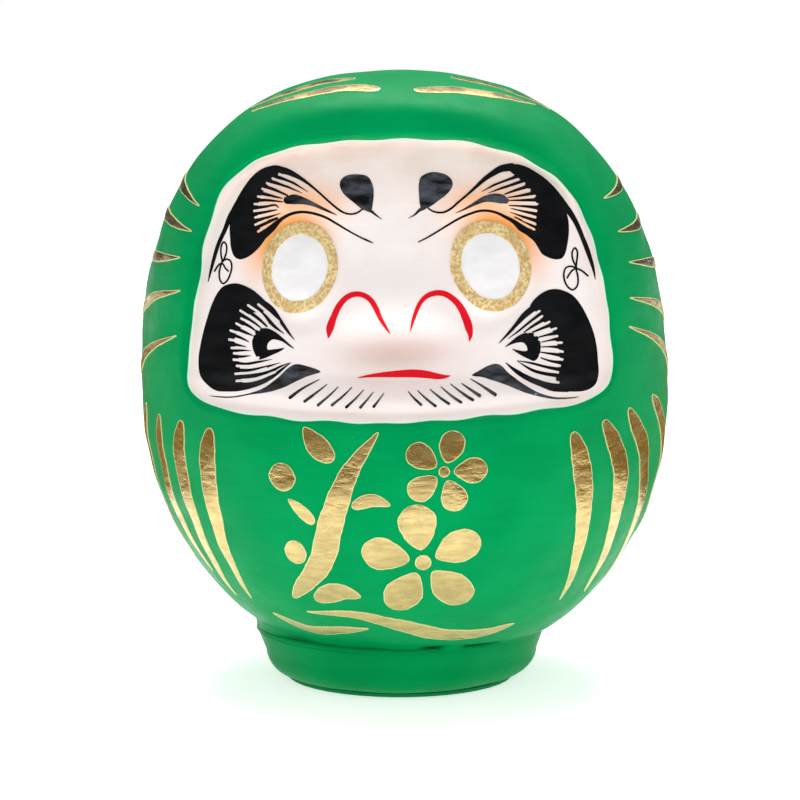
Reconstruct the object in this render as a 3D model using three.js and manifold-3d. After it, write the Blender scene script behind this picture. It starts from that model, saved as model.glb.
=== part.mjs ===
import * as THREE from 'three';
import { mergeVertices } from 'three/addons/utils/BufferGeometryUtils.js';
import Module from 'manifold-3d';

// Daruma doll: a round papier-mache figure that rocks on a clay-weighted foot.
// Millimetres, +Z up. The face looks along -Y, +X is on the viewer's right, and the
// origin is on the ground under the middle of the foot.

// ---- Driving sizes -------------------------------------------------------------

const HEIGHT = 150; // ground to crown
const WIDTH = 129.6; // across the belly
const DEPTH = 124; // belly front to back
const BELLY_HEIGHT = 72; // ground to the widest level
const UNDERSIDE_RISE = 3; // height where the round underside would close
const SHELL_WALL = 2; // pressed paper pulp
const GAP = 0.3; // between pieces that touch

const CROWN_FULLNESS = 2.4; // superellipse exponent of the sides and back above the belly
const HOOD_SQUARENESS = 4; // the same exponent straight ahead, where the hood is boxy
const BELLY_FULLNESS = 2.08; // the same exponent below the belly

const FOOT_HEIGHT = 13.5; // ground to the joint with the body
const FOOT_OVERHANG = 0.5; // the foot's top stands this far outside the body
const FOOT_TAPER = 1.8; // the foot narrows downwards by this much
const FOOT_EDGE_RADIUS = 6; // rounding above the ground
const FOOT_WALL = 1.6; // moulded paper of the foot cup
const BASE_PAPER_THICKNESS = 0.8; // disc pasted under the foot
const NECK_FLANGE = 9.5; // the shell's underside turns in by this much
const SPIGOT_RISE = 6; // the clay stands this far above the flange
const SPIGOT_ROUNDING = 2.5;

const SEAM_STRIP_WIDTH = 10; // paper pasted inside over the joint of the halves
const SEAM_STRIP_THICKNESS = 0.5;
const SEAM_STRIP_CLEARANCE = 1.1; // the wall curves in towards the strip's edges
const SEAM_STRIP_FOOT = 3; // the strip ends this far above the flange

const BODY_SHIFT = 2.2; // the body sits this far to the right on its foot
const BODY_LEAN = Math.tan(THREE.MathUtils.degToRad(1)); // and leans back to the left

const HOOD_SETBACK = 16; // hood front behind the belly front, at the hood's top
const HOOD_TOP_BAND = 10; // crown to the level where the setback is measured
const HOOD_SLOPE = 0.177; // the hood comes forward by this much per millimetre down
const HOOD_BOW_RADIUS = 78; // sideways curvature of the hood's front
const HOOD_BLEND = 4; // rounding between the hood front and the body
const LIP_TOP = 10; // the belly swells forward below this height over its widest level
const LIP_BOTTOM = -4; // and is fully itself at this one
const LIP_REACH = 30; // enough to free the belly from the hood's front

const FACE_AXIS = 0.4; // the face is set slightly to the right
const FACE_SIDE_MARGIN = 14; // widest part of the face to the body's side
const FACE_TOP_MARGIN = 12.7; // face to crown
const FACE_BOTTOM_RISE = 0.2; // face above the belly's widest level
const FACE_DEPTH_TOP = 5; // how far the face lies behind the hood
const FACE_DEPTH_BOTTOM = 2.6; // and behind the belly's lip
const FACE_WALL_OUTSIDE = 1; // the step starts this far outside the outline
const FACE_WALL_INSIDE = 2; // and ends this far inside

const FOIL_THICKNESS = 0.3;
const FOIL_TIP = 0.15; // half width where a stroke runs out

// ---- Worked out from the sizes ----------------------------------------------------

const halfWidth = WIDTH / 2;
const halfDepth = DEPTH / 2;
const crownRise = HEIGHT - BELLY_HEIGHT;
const bellyDrop = BELLY_HEIGHT - UNDERSIDE_RISE;
const jointHeight = FOOT_HEIGHT + GAP; // underside of the shell
const bellyRun = BELLY_HEIGHT - jointHeight; // from level 0 to level -1
const jointDrop = bellyRun / bellyDrop;
const jointReach = (1 - jointDrop ** BELLY_FULLNESS) ** (1 / BELLY_FULLNESS);
const jointPolar = -Math.atan2(jointDrop, jointReach);

const faceHalfWidth = halfWidth - FACE_SIDE_MARGIN;
const faceBottom = BELLY_HEIGHT + FACE_BOTTOM_RISE;
const faceHeight = HEIGHT - FACE_TOP_MARGIN - faceBottom;

const footTopRadius = jointReach * (halfWidth + halfDepth) / 2 + FOOT_OVERHANG;
const footBottomRadius = footTopRadius - FOOT_TAPER;
const neckRadius = jointReach * Math.min(halfWidth, halfDepth) - NECK_FLANGE;

const swayAt = (z) => BODY_SHIFT - BODY_LEAN * (z - FOOT_HEIGHT);
const neckCentre = swayAt(jointHeight);
const spigotRadius = neckRadius - Math.abs(neckCentre) - GAP;

// ---- The skin of the body -----------------------------------------------------------
// A point of the skin is named by its azimuth round the body (0 is +X, -90 degrees is
// the front) and its polar angle (90 degrees is the crown, 0 the belly's widest level).

function plainBody(azimuth, polar) {
  const frontness = Math.max(0, -Math.sin(azimuth));
  const hoodExponent = CROWN_FULLNESS + (HOOD_SQUARENESS - CROWN_FULLNESS) * frontness ** 2;
  const exponent = polar >= 0 ? hoodExponent : BELLY_FULLNESS;
  const cosine = Math.abs(Math.cos(polar));
  const sine = Math.abs(Math.sin(polar));
  const reach = (cosine ** exponent + sine ** exponent) ** (-1 / exponent);
  const rise = polar >= 0 ? crownRise : bellyDrop;
  return new THREE.Vector3(
    halfWidth * reach * cosine * Math.cos(azimuth),
    halfDepth * reach * cosine * Math.sin(azimuth),
    BELLY_HEIGHT + rise * reach * Math.sin(polar),
  );
}

// The smaller of two depths, with a round blend where they meet.
function smoothMin(a, b, blend) {
  const share = THREE.MathUtils.clamp(0.5 + (b - a) / (2 * blend), 0, 1);
  return b + (a - b) * share - blend * share * (1 - share);
}

function hoodFront(x, z) {
  const belowTop = HEIGHT - HOOD_TOP_BAND - z;
  const flatFront = halfDepth - HOOD_SETBACK + HOOD_SLOPE * belowTop;
  const bow = x * x / (2 * HOOD_BOW_RADIUS);
  const lip = THREE.MathUtils.smoothstep(z, BELLY_HEIGHT + LIP_BOTTOM, BELLY_HEIGHT + LIP_TOP);
  return flatFront - bow + LIP_REACH * (1 - lip);
}

// Right half of the face's edge, as shares of its half width and its height.
const FACE_EDGE = [
  [0, 1], [0.335, 0.983], [0.53, 0.949], [0.67, 0.9], [0.78, 0.834], [0.876, 0.703], [0.945, 0.51],
  [0.988, 0.31], [1, 0.135], [0.974, 0.077], [0.896, 0.034], [0.67, 0.017], [0.335, 0.006], [0, 0],
];
const FACE_EDGE_STEPS = 160;

function faceOutline() {
  const leftHalf = FACE_EDGE.slice(1, -1).reverse().map(([u, v]) => [-u, v]);
  const corners = [...FACE_EDGE, ...leftHalf].map(([u, v]) => new THREE.Vector3(
    FACE_AXIS + u * faceHalfWidth, faceBottom + v * faceHeight, 0));
  return new THREE.CatmullRomCurve3(corners, true).getPoints(FACE_EDGE_STEPS);
}
const outline = faceOutline();

// The face leans with the body: the height on an upright doll of a point of the face.
const uprightHeight = (x, z) => z - BODY_LEAN * x;

// Distance from the face's edge in the front view, positive inside.
function insideFace(x, leaningZ) {
  const z = uprightHeight(x, leaningZ);
  let nearest = Infinity;
  let inside = false;
  for (let i = 1; i < outline.length; i += 1) {
    const [a, b] = [outline[i - 1], outline[i]];
    const edge = new THREE.Vector2(b.x - a.x, b.y - a.y);
    const toPoint = new THREE.Vector2(x - a.x, z - a.y);
    const along = THREE.MathUtils.clamp(toPoint.dot(edge) / edge.lengthSq(), 0, 1);
    nearest = Math.min(nearest, toPoint.distanceTo(edge.clone().multiplyScalar(along)));
    const crosses = (a.y > z) !== (b.y > z);
    if (crosses && x < a.x + (z - a.y) * edge.x / edge.y) {
      inside = !inside;
    }
  }
  return inside ? nearest : -nearest;
}

function faceRecess(x, z) {
  const edge = THREE.MathUtils.smoothstep(insideFace(x, z), -FACE_WALL_OUTSIDE, FACE_WALL_INSIDE);
  const level = THREE.MathUtils.clamp((uprightHeight(x, z) - faceBottom) / faceHeight, 0, 1);
  return edge * THREE.MathUtils.lerp(FACE_DEPTH_BOTTOM, FACE_DEPTH_TOP, level);
}

// Soft swellings of the face: offset from its axis and level as shares of its half width
// and height, half size across and up in millimetres, and how far each stands out.
const SWELLINGS = [
  { offset: 0, level: 0.41, across: 11, up: 7, out: 3.6 }, // nose
  { offset: 0, level: 0.29, across: 12, up: 4, out: -1.8 }, // groove above the lip
  { offset: 0.2, level: 0.365, across: 4.5, up: 5, out: 1.2, paired: true }, // nostril wings
  { offset: 0.51, level: 0.765, across: 14, up: 6, out: 1.4, paired: true }, // brows
  { offset: 0.66, level: 0.243, across: 10, up: 9, out: 1, paired: true }, // cheeks
  { offset: 0.02, level: 0.166, across: 9, up: 3, out: 0.8 }, // lips
  { offset: 0, level: 0.066, across: 20, up: 3, out: 0.5 }, // chin
];
const EYE_OFFSET = 0.438; // share of the face's half width
const EYE_LEVEL = 0.524; // share of the face's height
const EYE_HALF_WIDTH = 9.3;
const EYE_HALF_HEIGHT = 10.6;
const EYE_DOME = 1.4;
const EYE_SOCKET = 1;
const EYE_SOCKET_RADIUS = 1.15; // in eye radii
const EYE_SOCKET_WIDTH = 0.25;
const RELIEF_MARGIN = 4; // the swellings fade out this near the face's edge

function eyeRelief(x, leaningZ, side) {
  const z = uprightHeight(x, leaningZ);
  const across = (x - FACE_AXIS - side * EYE_OFFSET * faceHalfWidth) / EYE_HALF_WIDTH;
  const up = (z - faceBottom - EYE_LEVEL * faceHeight) / EYE_HALF_HEIGHT;
  const radius = Math.hypot(across, up);
  const dome = EYE_DOME * Math.max(0, 1 - radius ** 2);
  const socket = Math.exp(-(((radius - EYE_SOCKET_RADIUS) / EYE_SOCKET_WIDTH) ** 2));
  return dome - EYE_SOCKET * socket;
}

function faceRelief(x, z) {
  const fade = THREE.MathUtils.smoothstep(insideFace(x, z), 0, RELIEF_MARGIN);
  let relief = eyeRelief(x, z, -1) + eyeRelief(x, z, 1);
  for (const swelling of SWELLINGS) {
    for (const side of swelling.paired ? [-1, 1] : [1]) {
      const across = (x - FACE_AXIS - side * swelling.offset * faceHalfWidth) / swelling.across;
      const up = (uprightHeight(x, z) - faceBottom - swelling.level * faceHeight) / swelling.up;
      relief += swelling.out * Math.exp(-(across ** 2) - up ** 2);
    }
  }
  return fade * relief;
}

function skinPoint(azimuth, polar, withRelief = true) {
  const point = plainBody(azimuth, polar);
  if (point.y < 0) {
    let depth = smoothMin(-point.y, hoodFront(point.x, point.z), HOOD_BLEND);
    depth -= faceRecess(point.x, point.z);
    if (withRelief) {
      depth += faceRelief(point.x, point.z);
    }
    point.y = -Math.max(depth, 0);
  }
  point.x += swayAt(point.z);
  return point;
}

const NORMAL_STEP = 0.002; // radians
const POLE = Math.PI / 2;

function skinNormal(azimuth, polar, withRelief = true) {
  if (polar > POLE - NORMAL_STEP) {
    return new THREE.Vector3(0, 0, 1);
  }
  const round = skinPoint(azimuth + NORMAL_STEP, polar, withRelief)
    .sub(skinPoint(azimuth - NORMAL_STEP, polar, withRelief));
  const up = skinPoint(azimuth, polar + NORMAL_STEP, withRelief)
    .sub(skinPoint(azimuth, polar - NORMAL_STEP, withRelief));
  return round.cross(up).normalize();
}

function offsetSkin(azimuth, polar, offset, withRelief = true) {
  const normal = skinNormal(azimuth, polar, withRelief);
  return skinPoint(azimuth, polar, withRelief).addScaledVector(normal, offset);
}

// ---- Meshes from points -----------------------------------------------------------

function signedVolume(points, triangles) {
  let volume = 0;
  for (const [a, b, c] of triangles) {
    volume += points[a].dot(points[b].clone().cross(points[c])) / 6;
  }
  return volume;
}

function closedGeometry(points, triangles) {
  const outward = signedVolume(points, triangles) > 0;
  const faces = outward ? triangles : triangles.map(([a, b, c]) => [a, c, b]);
  const geometry = new THREE.BufferGeometry().setFromPoints(points);
  geometry.setIndex(faces.flat());
  geometry.computeVertexNormals();
  return geometry;
}

// Values along a line that is divided more finely in some spans than in others.
function spanSteps(spans) {
  const values = [];
  for (const { from, to, count } of spans) {
    for (let i = 0; i < count; i += 1) {
      values.push(THREE.MathUtils.degToRad(from + (to - from) * i / count));
    }
  }
  return values;
}

// A closed body of rings round the vertical axis, with a point at the crown and a flat
// underside that closes at its middle.
function ringedBody(azimuths, polars, pointAt) {
  const points = [pointAt(0, POLE)];
  for (const polar of polars) {
    for (const azimuth of azimuths) {
      points.push(pointAt(azimuth, polar));
    }
  }
  const count = azimuths.length;
  const lastRing = 1 + (polars.length - 1) * count;
  const bottom = points.length;
  points.push(new THREE.Vector3(neckCentre, 0, points[lastRing].z));
  const triangles = [];
  for (let i = 0; i < count; i += 1) {
    const next = (i + 1) % count;
    triangles.push([0, 1 + i, 1 + next]);
    for (let ring = 1; ring < lastRing; ring += count) {
      const [a, b] = [ring + i, ring + next];
      triangles.push([a, a + count, b], [b, a + count, b + count]);
    }
    triangles.push([lastRing + i, bottom, lastRing + next]);
  }
  return closedGeometry(points, triangles);
}

// ---- Joining and cutting ------------------------------------------------------------

const wasm = await Module();
wasm.setup();

function toSolid(geometry) {
  const bare = geometry.clone();
  bare.deleteAttribute('normal');
  bare.deleteAttribute('uv');
  const merged = mergeVertices(bare);
  return new wasm.Manifold(new wasm.Mesh({
    numProp: 3,
    vertProperties: new Float32Array(merged.attributes.position.array),
    triVerts: new Uint32Array(merged.index.array),
  }));
}

function toGeometry(solid) {
  const mesh = solid.getMesh();
  const geometry = new THREE.BufferGeometry();
  geometry.setAttribute('position', new THREE.BufferAttribute(mesh.vertProperties, 3));
  geometry.setIndex(new THREE.BufferAttribute(mesh.triVerts, 1));
  geometry.computeVertexNormals();
  return geometry;
}

// A block that holds everything between two corners.
function block(low, high) {
  const box = new THREE.Box3(new THREE.Vector3(...low), new THREE.Vector3(...high));
  const size = box.getSize(new THREE.Vector3());
  const centre = box.getCenter(new THREE.Vector3());
  const geometry = new THREE.BoxGeometry(size.x, size.y, size.z);
  geometry.translate(centre.x, centre.y, centre.z);
  return toSolid(geometry);
}

// ---- Shell halves ---------------------------------------------------------------------

const reachAll = HEIGHT + WIDTH + DEPTH; // a length that passes any face of the doll

function outerBody() {
  const azimuths = spanSteps([
    { from: -180, to: -140, count: 6 },
    { from: -140, to: -40, count: 32 },
    { from: -40, to: 0, count: 6 },
    { from: 0, to: 180, count: 14 },
  ]);
  const polars = spanSteps([
    { from: 85, to: 48, count: 7 },
    { from: 48, to: -2, count: 20 },
    { from: -2, to: THREE.MathUtils.radToDeg(jointPolar), count: 8 },
  ]);
  polars.push(jointPolar);
  return toSolid(ringedBody(azimuths, polars, skinPoint));
}

// The hollow: an offset of the skin, levelled above the flange, and the neck through it.
function hollow() {
  const azimuths = spanSteps([{ from: -180, to: 180, count: 40 }]);
  const belowFlange = THREE.MathUtils.radToDeg(jointPolar) - 4;
  const polars = spanSteps([
    { from: 83, to: 48, count: 6 },
    { from: 48, to: 0, count: 12 },
    { from: 0, to: belowFlange, count: 9 },
  ]);
  const inside = ringedBody(azimuths, polars,
    (azimuth, polar) => offsetSkin(azimuth, polar, -SHELL_WALL, false));
  const flangeTop = jointHeight + SHELL_WALL;
  const aboveFlange = block([-reachAll, -reachAll, flangeTop], [reachAll, reachAll, reachAll]);
  const neck = new THREE.CylinderGeometry(neckRadius, neckRadius, 4 * SHELL_WALL, 40);
  neck.rotateX(Math.PI / 2);
  neck.translate(neckCentre, 0, jointHeight + SHELL_WALL / 2);
  return toSolid(inside).intersect(aboveFlange).add(toSolid(neck));
}

function shellHalves() {
  const shell = outerBody().subtract(hollow());
  const front = block([-reachAll, -reachAll, 0], [reachAll, -GAP / 2, reachAll]);
  const back = block([-reachAll, GAP / 2, 0], [reachAll, reachAll, reachAll]);
  return [toGeometry(shell.intersect(front)), toGeometry(shell.intersect(back))];
}

// ---- Paper strip inside the joint of the halves --------------------------------------

function seamStrip() {
  const lowest = jointHeight + SHELL_WALL + SEAM_STRIP_FOOT;
  const arch = (offset) => {
    const points = [];
    for (const [azimuth, direction] of [[Math.PI, 1], [0, -1]]) {
      const polars = spanSteps([{ from: THREE.MathUtils.radToDeg(jointPolar), to: 90, count: 22 }]);
      const ordered = direction > 0 ? polars : polars.reverse();
      for (const polar of ordered) {
        const point = offsetSkin(azimuth, polar, -offset, false);
        if (point.z > lowest) {
          points.push(new THREE.Vector2(point.x, point.z));
        }
      }
    }
    return points;
  };
  const outer = arch(SHELL_WALL + SEAM_STRIP_CLEARANCE);
  const inner = arch(SHELL_WALL + SEAM_STRIP_CLEARANCE + SEAM_STRIP_THICKNESS);
  const section = new THREE.Shape([...outer, ...inner.reverse()]);
  const geometry = new THREE.ExtrudeGeometry(section, {
    depth: SEAM_STRIP_WIDTH, bevelEnabled: false,
  });
  geometry.rotateX(Math.PI / 2);
  geometry.translate(0, SEAM_STRIP_WIDTH / 2, 0);
  return geometry;
}

// ---- Foot, clay weight and base paper ----------------------------------------------------

const cupBottom = BASE_PAPER_THICKNESS + GAP;
const ROUND_STEPS = 4;
const LATHE_STEPS = 40;

// A quarter round from straight down to inwards, for the foot's lower edge.
function footEdge(outerRadius, bottom, rounding) {
  const points = [];
  for (let i = 0; i <= ROUND_STEPS; i += 1) {
    const turn = i / ROUND_STEPS * POLE;
    points.push(new THREE.Vector2(
      outerRadius - rounding * (1 - Math.cos(turn)),
      bottom + rounding * (1 - Math.sin(turn)),
    ));
  }
  return points;
}

function turned(profile) {
  const geometry = new THREE.LatheGeometry(profile, LATHE_STEPS);
  geometry.rotateX(Math.PI / 2);
  const merged = geometry.clone();
  merged.deleteAttribute('normal');
  merged.deleteAttribute('uv');
  return toGeometry(fromTurned(mergeVertices(merged)));
}

// A lathe's faces may point either way, so the solid is made from the side that is out.
function fromTurned(geometry) {
  const position = geometry.attributes.position;
  const points = [];
  for (let i = 0; i < position.count; i += 1) {
    points.push(new THREE.Vector3().fromBufferAttribute(position, i));
  }
  const triangles = [];
  for (let i = 0; i < geometry.index.count; i += 3) {
    const [a, b, c] = [0, 1, 2].map((k) => geometry.index.getX(i + k));
    if (a !== b && b !== c && c !== a) {
      triangles.push([a, b, c]);
    }
  }
  return toSolid(closedGeometry(points, triangles));
}

function footCup() {
  const deckUnderside = FOOT_HEIGHT - FOOT_WALL;
  const deckHole = spigotRadius + GAP;
  const outside = footEdge(footBottomRadius, cupBottom, FOOT_EDGE_RADIUS);
  const inside = footEdge(footBottomRadius - FOOT_WALL, cupBottom, FOOT_EDGE_RADIUS);
  return turned([
    new THREE.Vector2(deckHole, FOOT_HEIGHT),
    new THREE.Vector2(footTopRadius, FOOT_HEIGHT),
    ...outside,
    ...inside.reverse(),
    new THREE.Vector2(footTopRadius - FOOT_WALL, deckUnderside),
    new THREE.Vector2(deckHole, deckUnderside),
    new THREE.Vector2(deckHole, FOOT_HEIGHT),
  ]);
}

function clayWeight() {
  const shoulder = FOOT_HEIGHT - FOOT_WALL - GAP;
  const top = jointHeight + SHELL_WALL + SPIGOT_RISE;
  const side = footEdge(footBottomRadius - FOOT_WALL - GAP, cupBottom, FOOT_EDGE_RADIUS);
  return turned([
    new THREE.Vector2(0, top),
    new THREE.Vector2(spigotRadius - SPIGOT_ROUNDING, top),
    new THREE.Vector2(spigotRadius, top - SPIGOT_ROUNDING),
    new THREE.Vector2(spigotRadius, shoulder),
    new THREE.Vector2(footTopRadius - FOOT_WALL - 2 * GAP, shoulder),
    ...side,
    new THREE.Vector2(0, cupBottom),
  ]);
}

function basePaper() {
  const radius = footBottomRadius - FOOT_EDGE_RADIUS;
  return turned([
    new THREE.Vector2(0, 0),
    new THREE.Vector2(radius, 0),
    new THREE.Vector2(radius, BASE_PAPER_THICKNESS),
    new THREE.Vector2(0, BASE_PAPER_THICKNESS),
  ]);
}

// ---- Gold foil ------------------------------------------------------------------------------
// A stroke is a thin ribbon that lies on the skin. Its middle line is given by a few
// points: azimuth in degrees and level, where 1 is the crown, 0 the belly's widest
// height and -1 the joint with the foot.

function onSkin(azimuthDegrees, level) {
  const azimuth = THREE.MathUtils.degToRad(azimuthDegrees);
  if (level < 0) {
    const drop = -level * bellyRun / bellyDrop;
    const reach = (1 - drop ** BELLY_FULLNESS) ** (1 / BELLY_FULLNESS);
    return new THREE.Vector2(azimuth, -Math.atan2(drop, reach));
  }
  const frontness = Math.max(0, -Math.sin(azimuth));
  const exponent = CROWN_FULLNESS + (HOOD_SQUARENESS - CROWN_FULLNESS) * frontness ** 2;
  return new THREE.Vector2(azimuth, Math.atan2(level, (1 - level ** exponent) ** (1 / exponent)));
}

// The same for a point of the belly's front, given as millimetres across and its level.
function onBelly(across, level) {
  const drop = Math.max(0, -level) * bellyRun / bellyDrop;
  const reach = halfWidth * (1 - drop ** BELLY_FULLNESS) ** (1 / BELLY_FULLNESS);
  return onSkin(-THREE.MathUtils.radToDeg(Math.acos(across / reach)), level);
}

// Half width along a stroke: round in the middle, thin at the ends, and widest at peak.
function brushWidth(widest, peak, fullness) {
  return (t) => {
    const shifted = t ** (Math.log(0.5) / Math.log(peak));
    return FOIL_TIP + (widest - FOIL_TIP) * Math.sin(Math.PI * shifted) ** fullness;
  };
}

// Steps on the skin, in azimuth and polar angle, for a millimetre to the stroke's left.
function sideStep(line, t) {
  const here = line.getPoint(t);
  const azimuthStep = skinPoint(here.x + NORMAL_STEP, here.y, false)
    .sub(skinPoint(here.x - NORMAL_STEP, here.y, false)).divideScalar(2 * NORMAL_STEP);
  const polarStep = skinPoint(here.x, here.y + NORMAL_STEP, false)
    .sub(skinPoint(here.x, here.y - NORMAL_STEP, false)).divideScalar(2 * NORMAL_STEP);
  const heading = line.getTangent(t);
  const forward = azimuthStep.clone().multiplyScalar(heading.x)
    .addScaledVector(polarStep, heading.y);
  const normal = azimuthStep.clone().cross(polarStep).normalize();
  const left = normal.clone().cross(forward).normalize();
  const area = azimuthStep.clone().cross(polarStep).dot(normal);
  return new THREE.Vector2(
    left.clone().cross(polarStep).dot(normal) / area,
    azimuthStep.clone().cross(left).dot(normal) / area,
  );
}

function foilStroke(points, widthAt, steps, lanes) {
  const line = new THREE.SplineCurve(points);
  const columns = lanes + 1;
  const layers = [GAP, GAP + FOIL_THICKNESS];
  const vertices = [];
  for (const lift of layers) {
    for (let i = 0; i <= steps; i += 1) {
      const t = i / steps;
      const middle = line.getPoint(t);
      const step = sideStep(line, t);
      for (let j = 0; j <= lanes; j += 1) {
        const aside = widthAt(t) * (2 * j / lanes - 1);
        const place = middle.clone().addScaledVector(step, aside);
        vertices.push(offsetSkin(place.x, place.y, lift, false));
      }
    }
  }
  const top = (steps + 1) * columns;
  const triangles = [];
  for (let i = 0; i < steps; i += 1) {
    for (let j = 0; j < lanes; j += 1) {
      const a = i * columns + j;
      const [b, c, d] = [a + 1, a + columns, a + columns + 1];
      triangles.push([a, b, c], [b, d, c]);
      triangles.push([top + a, top + c, top + b], [top + b, top + c, top + d]);
    }
  }
  const rim = [];
  for (let j = 0; j < lanes; j += 1) rim.push(j);
  for (let i = 0; i < steps; i += 1) rim.push(i * columns + lanes);
  for (let j = lanes; j > 0; j -= 1) rim.push(steps * columns + j);
  for (let i = steps; i > 0; i -= 1) rim.push(i * columns);
  rim.forEach((a, k) => {
    const b = rim[(k + 1) % rim.length];
    triangles.push([a, top + a, b], [b, top + a, top + b]);
  });
  return closedGeometry(vertices, triangles);
}

// Long strokes down both sides of the belly, from the middle outwards.
const BELLY_STRIPES = {
  left: [
    { line: [[-132.3, -0.06], [-134.4, -0.22], [-136, -0.48], [-138.4, -0.81]], widest: 2.8 },
    { line: [[-142, -0.05], [-145, -0.22], [-145, -0.5], [-147.5, -0.82]], widest: 2.6 },
    { line: [[-153, -0.05], [-154.6, -0.25], [-154.2, -0.48], [-151, -0.72]], widest: 2.3 },
    { line: [[-163, -0.03], [-167, -0.2], [-166, -0.45], [-162, -0.68]], widest: 2.3 },
  ],
  right: [
    { line: [[-50, -0.06], [-46.3, -0.24], [-43.2, -0.48], [-38.4, -0.81]], widest: 2.8 },
    { line: [[-41, -0.03], [-34.2, -0.23], [-31, -0.48], [-26.6, -0.8]], widest: 2.9 },
    { line: [[-32.4, 0], [-24.1, -0.2], [-18.4, -0.46], [-15.2, -0.76]], widest: 2.7 },
    { line: [[-20.6, 0.02], [-11.4, -0.12], [-6, -0.32], [-4.4, -0.6]], widest: 2.5 },
  ],
};

// Short strokes on the sides of the hood, from the top down, tips towards the face.
const HOOD_TICKS = {
  left: [
    [[-172, 0.68], [-155, 0.655], [-140.5, 0.615]],
    [[-172, 0.575], [-154, 0.555], [-141.5, 0.538]],
    [[-174, 0.43], [-157, 0.442], [-144.5, 0.456]],
    [[-176, 0.24], [-159, 0.315], [-143, 0.357]],
    [[-178, 0.05], [-161, 0.145], [-144, 0.219]],
  ],
  right: [
    [[2, 0.67], [-14, 0.652], [-31, 0.636]],
    [[1, 0.55], [-14.5, 0.535], [-29, 0.535]],
    [[3, 0.4], [-12.5, 0.42], [-27, 0.44]],
    [[4, 0.22], [-12, 0.29], [-29.5, 0.335]],
    [[5, 0.03], [-12, 0.165], [-31, 0.25]],
  ],
};
const TICK_HALF_WIDTH = 1.4;

// Strokes that sweep over the front of the crown to both sides.
const CROWN_STROKES = {
  left: [
    [[-94, 0.969], [-107, 0.971], [-122, 0.947], [-142, 0.892]],
    [[-112, 0.9925], [-122, 0.982], [-134, 0.952], [-149, 0.9]],
  ],
  right: [
    [[-82, 0.969], [-69.4, 0.968], [-52.5, 0.949], [-30, 0.91]],
    [[-54, 0.992], [-42, 0.972], [-26, 0.937], [-6, 0.885]],
  ],
};
const CROWN_HALF_WIDTH = 2.4;

// The sweeps and the sprig on the belly are drawn as millimetres across and level, for a
// belly of this run, and they grow and shrink with it.
const DRAWN_BELLY_RUN = 58.2;
const drawnScale = bellyRun / DRAWN_BELLY_RUN;

// Two crossing sweeps under the blossom.
const FLOURISH = [
  {
    line: [[-22, -0.83], [-9, -0.832], [1, -0.88], [11, -0.932], [20, -0.93], [27, -0.9]],
    widest: 2.4,
  },
  { line: [[-7.4, -0.897], [-14, -0.915], [-22, -0.93], [-31, -0.87]], widest: 1.8 },
];

// A sprig of blossom on the belly: a branch, two twigs, two flowers, buds and leaves.
const SPRIG_BRUSH = [
  {
    name: 'branch',
    widest: 3.1,
    line: [[-25, -0.77], [-18, -0.6], [-14.5, -0.4], [-10, -0.2], [-3, -0.03]],
  },
  { name: 'twig_left', widest: 1.7, line: [[-18.8, -0.42], [-21.5, -0.37], [-24.6, -0.32]] },
  { name: 'twig_right', widest: 1.7, line: [[-9.6, -0.34], [-5, -0.31], [-0.6, -0.33]] },
  { name: 'leaf_low', widest: 2.9, line: [[-19.6, -0.77], [-14, -0.72], [-8.6, -0.74]] },
  { name: 'leaf_high', widest: 2.8, line: [[-13.6, -0.15], [-17.5, -0.09], [-20.5, -0.02]] },
];
const SPRIG_BUDS = [
  { across: -26, level: -0.23, radius: 3.4 },
  { across: -23.6, level: -0.55, radius: 2.9 },
];
const SPRIG_FLOWERS = [
  { name: 'flower_large', across: 6.5, level: -0.575, radius: 14.6, turn: 0.1 },
  { name: 'flower_small', across: 12, level: -0.19, radius: 10, turn: -0.3 },
];
const PETALS = 5;
const PETAL_INNER = 0.22; // a petal starts at this share of the flower's radius
const PETAL_SPREAD = 0.31; // half width as a share of the flower's radius
const PETAL_FULLNESS = 0.5;
const FLOWER_CENTRE = 0.13; // radius of the middle dot as a share of the flower's

const drawn = ([across, level]) => onBelly(across * drawnScale, level);

function flowerPetals({ across, level, radius, turn }) {
  const petals = [];
  for (let i = 0; i < PETALS; i += 1) {
    const angle = turn + POLE + i * 2 * Math.PI / PETALS;
    const line = [PETAL_INNER, (PETAL_INNER + 1) / 2, 1].map((share) => drawn([
      across + radius * share * Math.cos(angle),
      level + radius * share * Math.sin(angle) / DRAWN_BELLY_RUN,
    ]));
    const widest = PETAL_SPREAD * radius * drawnScale;
    petals.push(foilStroke(line, brushWidth(widest, 0.6, PETAL_FULLNESS), 8, 2));
  }
  return petals;
}

function dotStroke(across, level, radius) {
  const rise = radius / DRAWN_BELLY_RUN;
  const line = [-rise, 0, rise].map((step) => drawn([across, level + step]));
  return foilStroke(line, brushWidth(radius * drawnScale, 0.5, 0.5), 8, 2);
}

// ---- Finishes ------------------------------------------------------------------------

const finish = (color, roughness, metalness = 0) => (
  () => new THREE.MeshStandardMaterial({ color, roughness, metalness, flatShading: true }));
const greenPaint = finish('#079a5e', 0.45);
const footPaint = finish('#058c50', 0.5);
const goldFoil = finish('#d9b866', 0.28, 0.9);
const washi = finish('#efe6d2', 0.85);
const clay = finish('#a98b6a', 0.9);

// ---- The doll ------------------------------------------------------------------------

const doll = new THREE.Group();

function addPiece(name, geometry, material) {
  const piece = new THREE.Mesh(geometry, material());
  piece.name = name;
  doll.add(piece);
}

const [frontHalf, backHalf] = shellHalves();
addPiece('front_shell', frontHalf, greenPaint);
addPiece('back_shell', backHalf, greenPaint);
addPiece('seam_strip', seamStrip(), washi);
addPiece('foot_cup', footCup(), footPaint);
addPiece('clay_weight', clayWeight(), clay);
addPiece('base_paper', basePaper(), washi);

const place = (line) => line.map(([azimuth, level]) => onSkin(azimuth, level));

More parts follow.
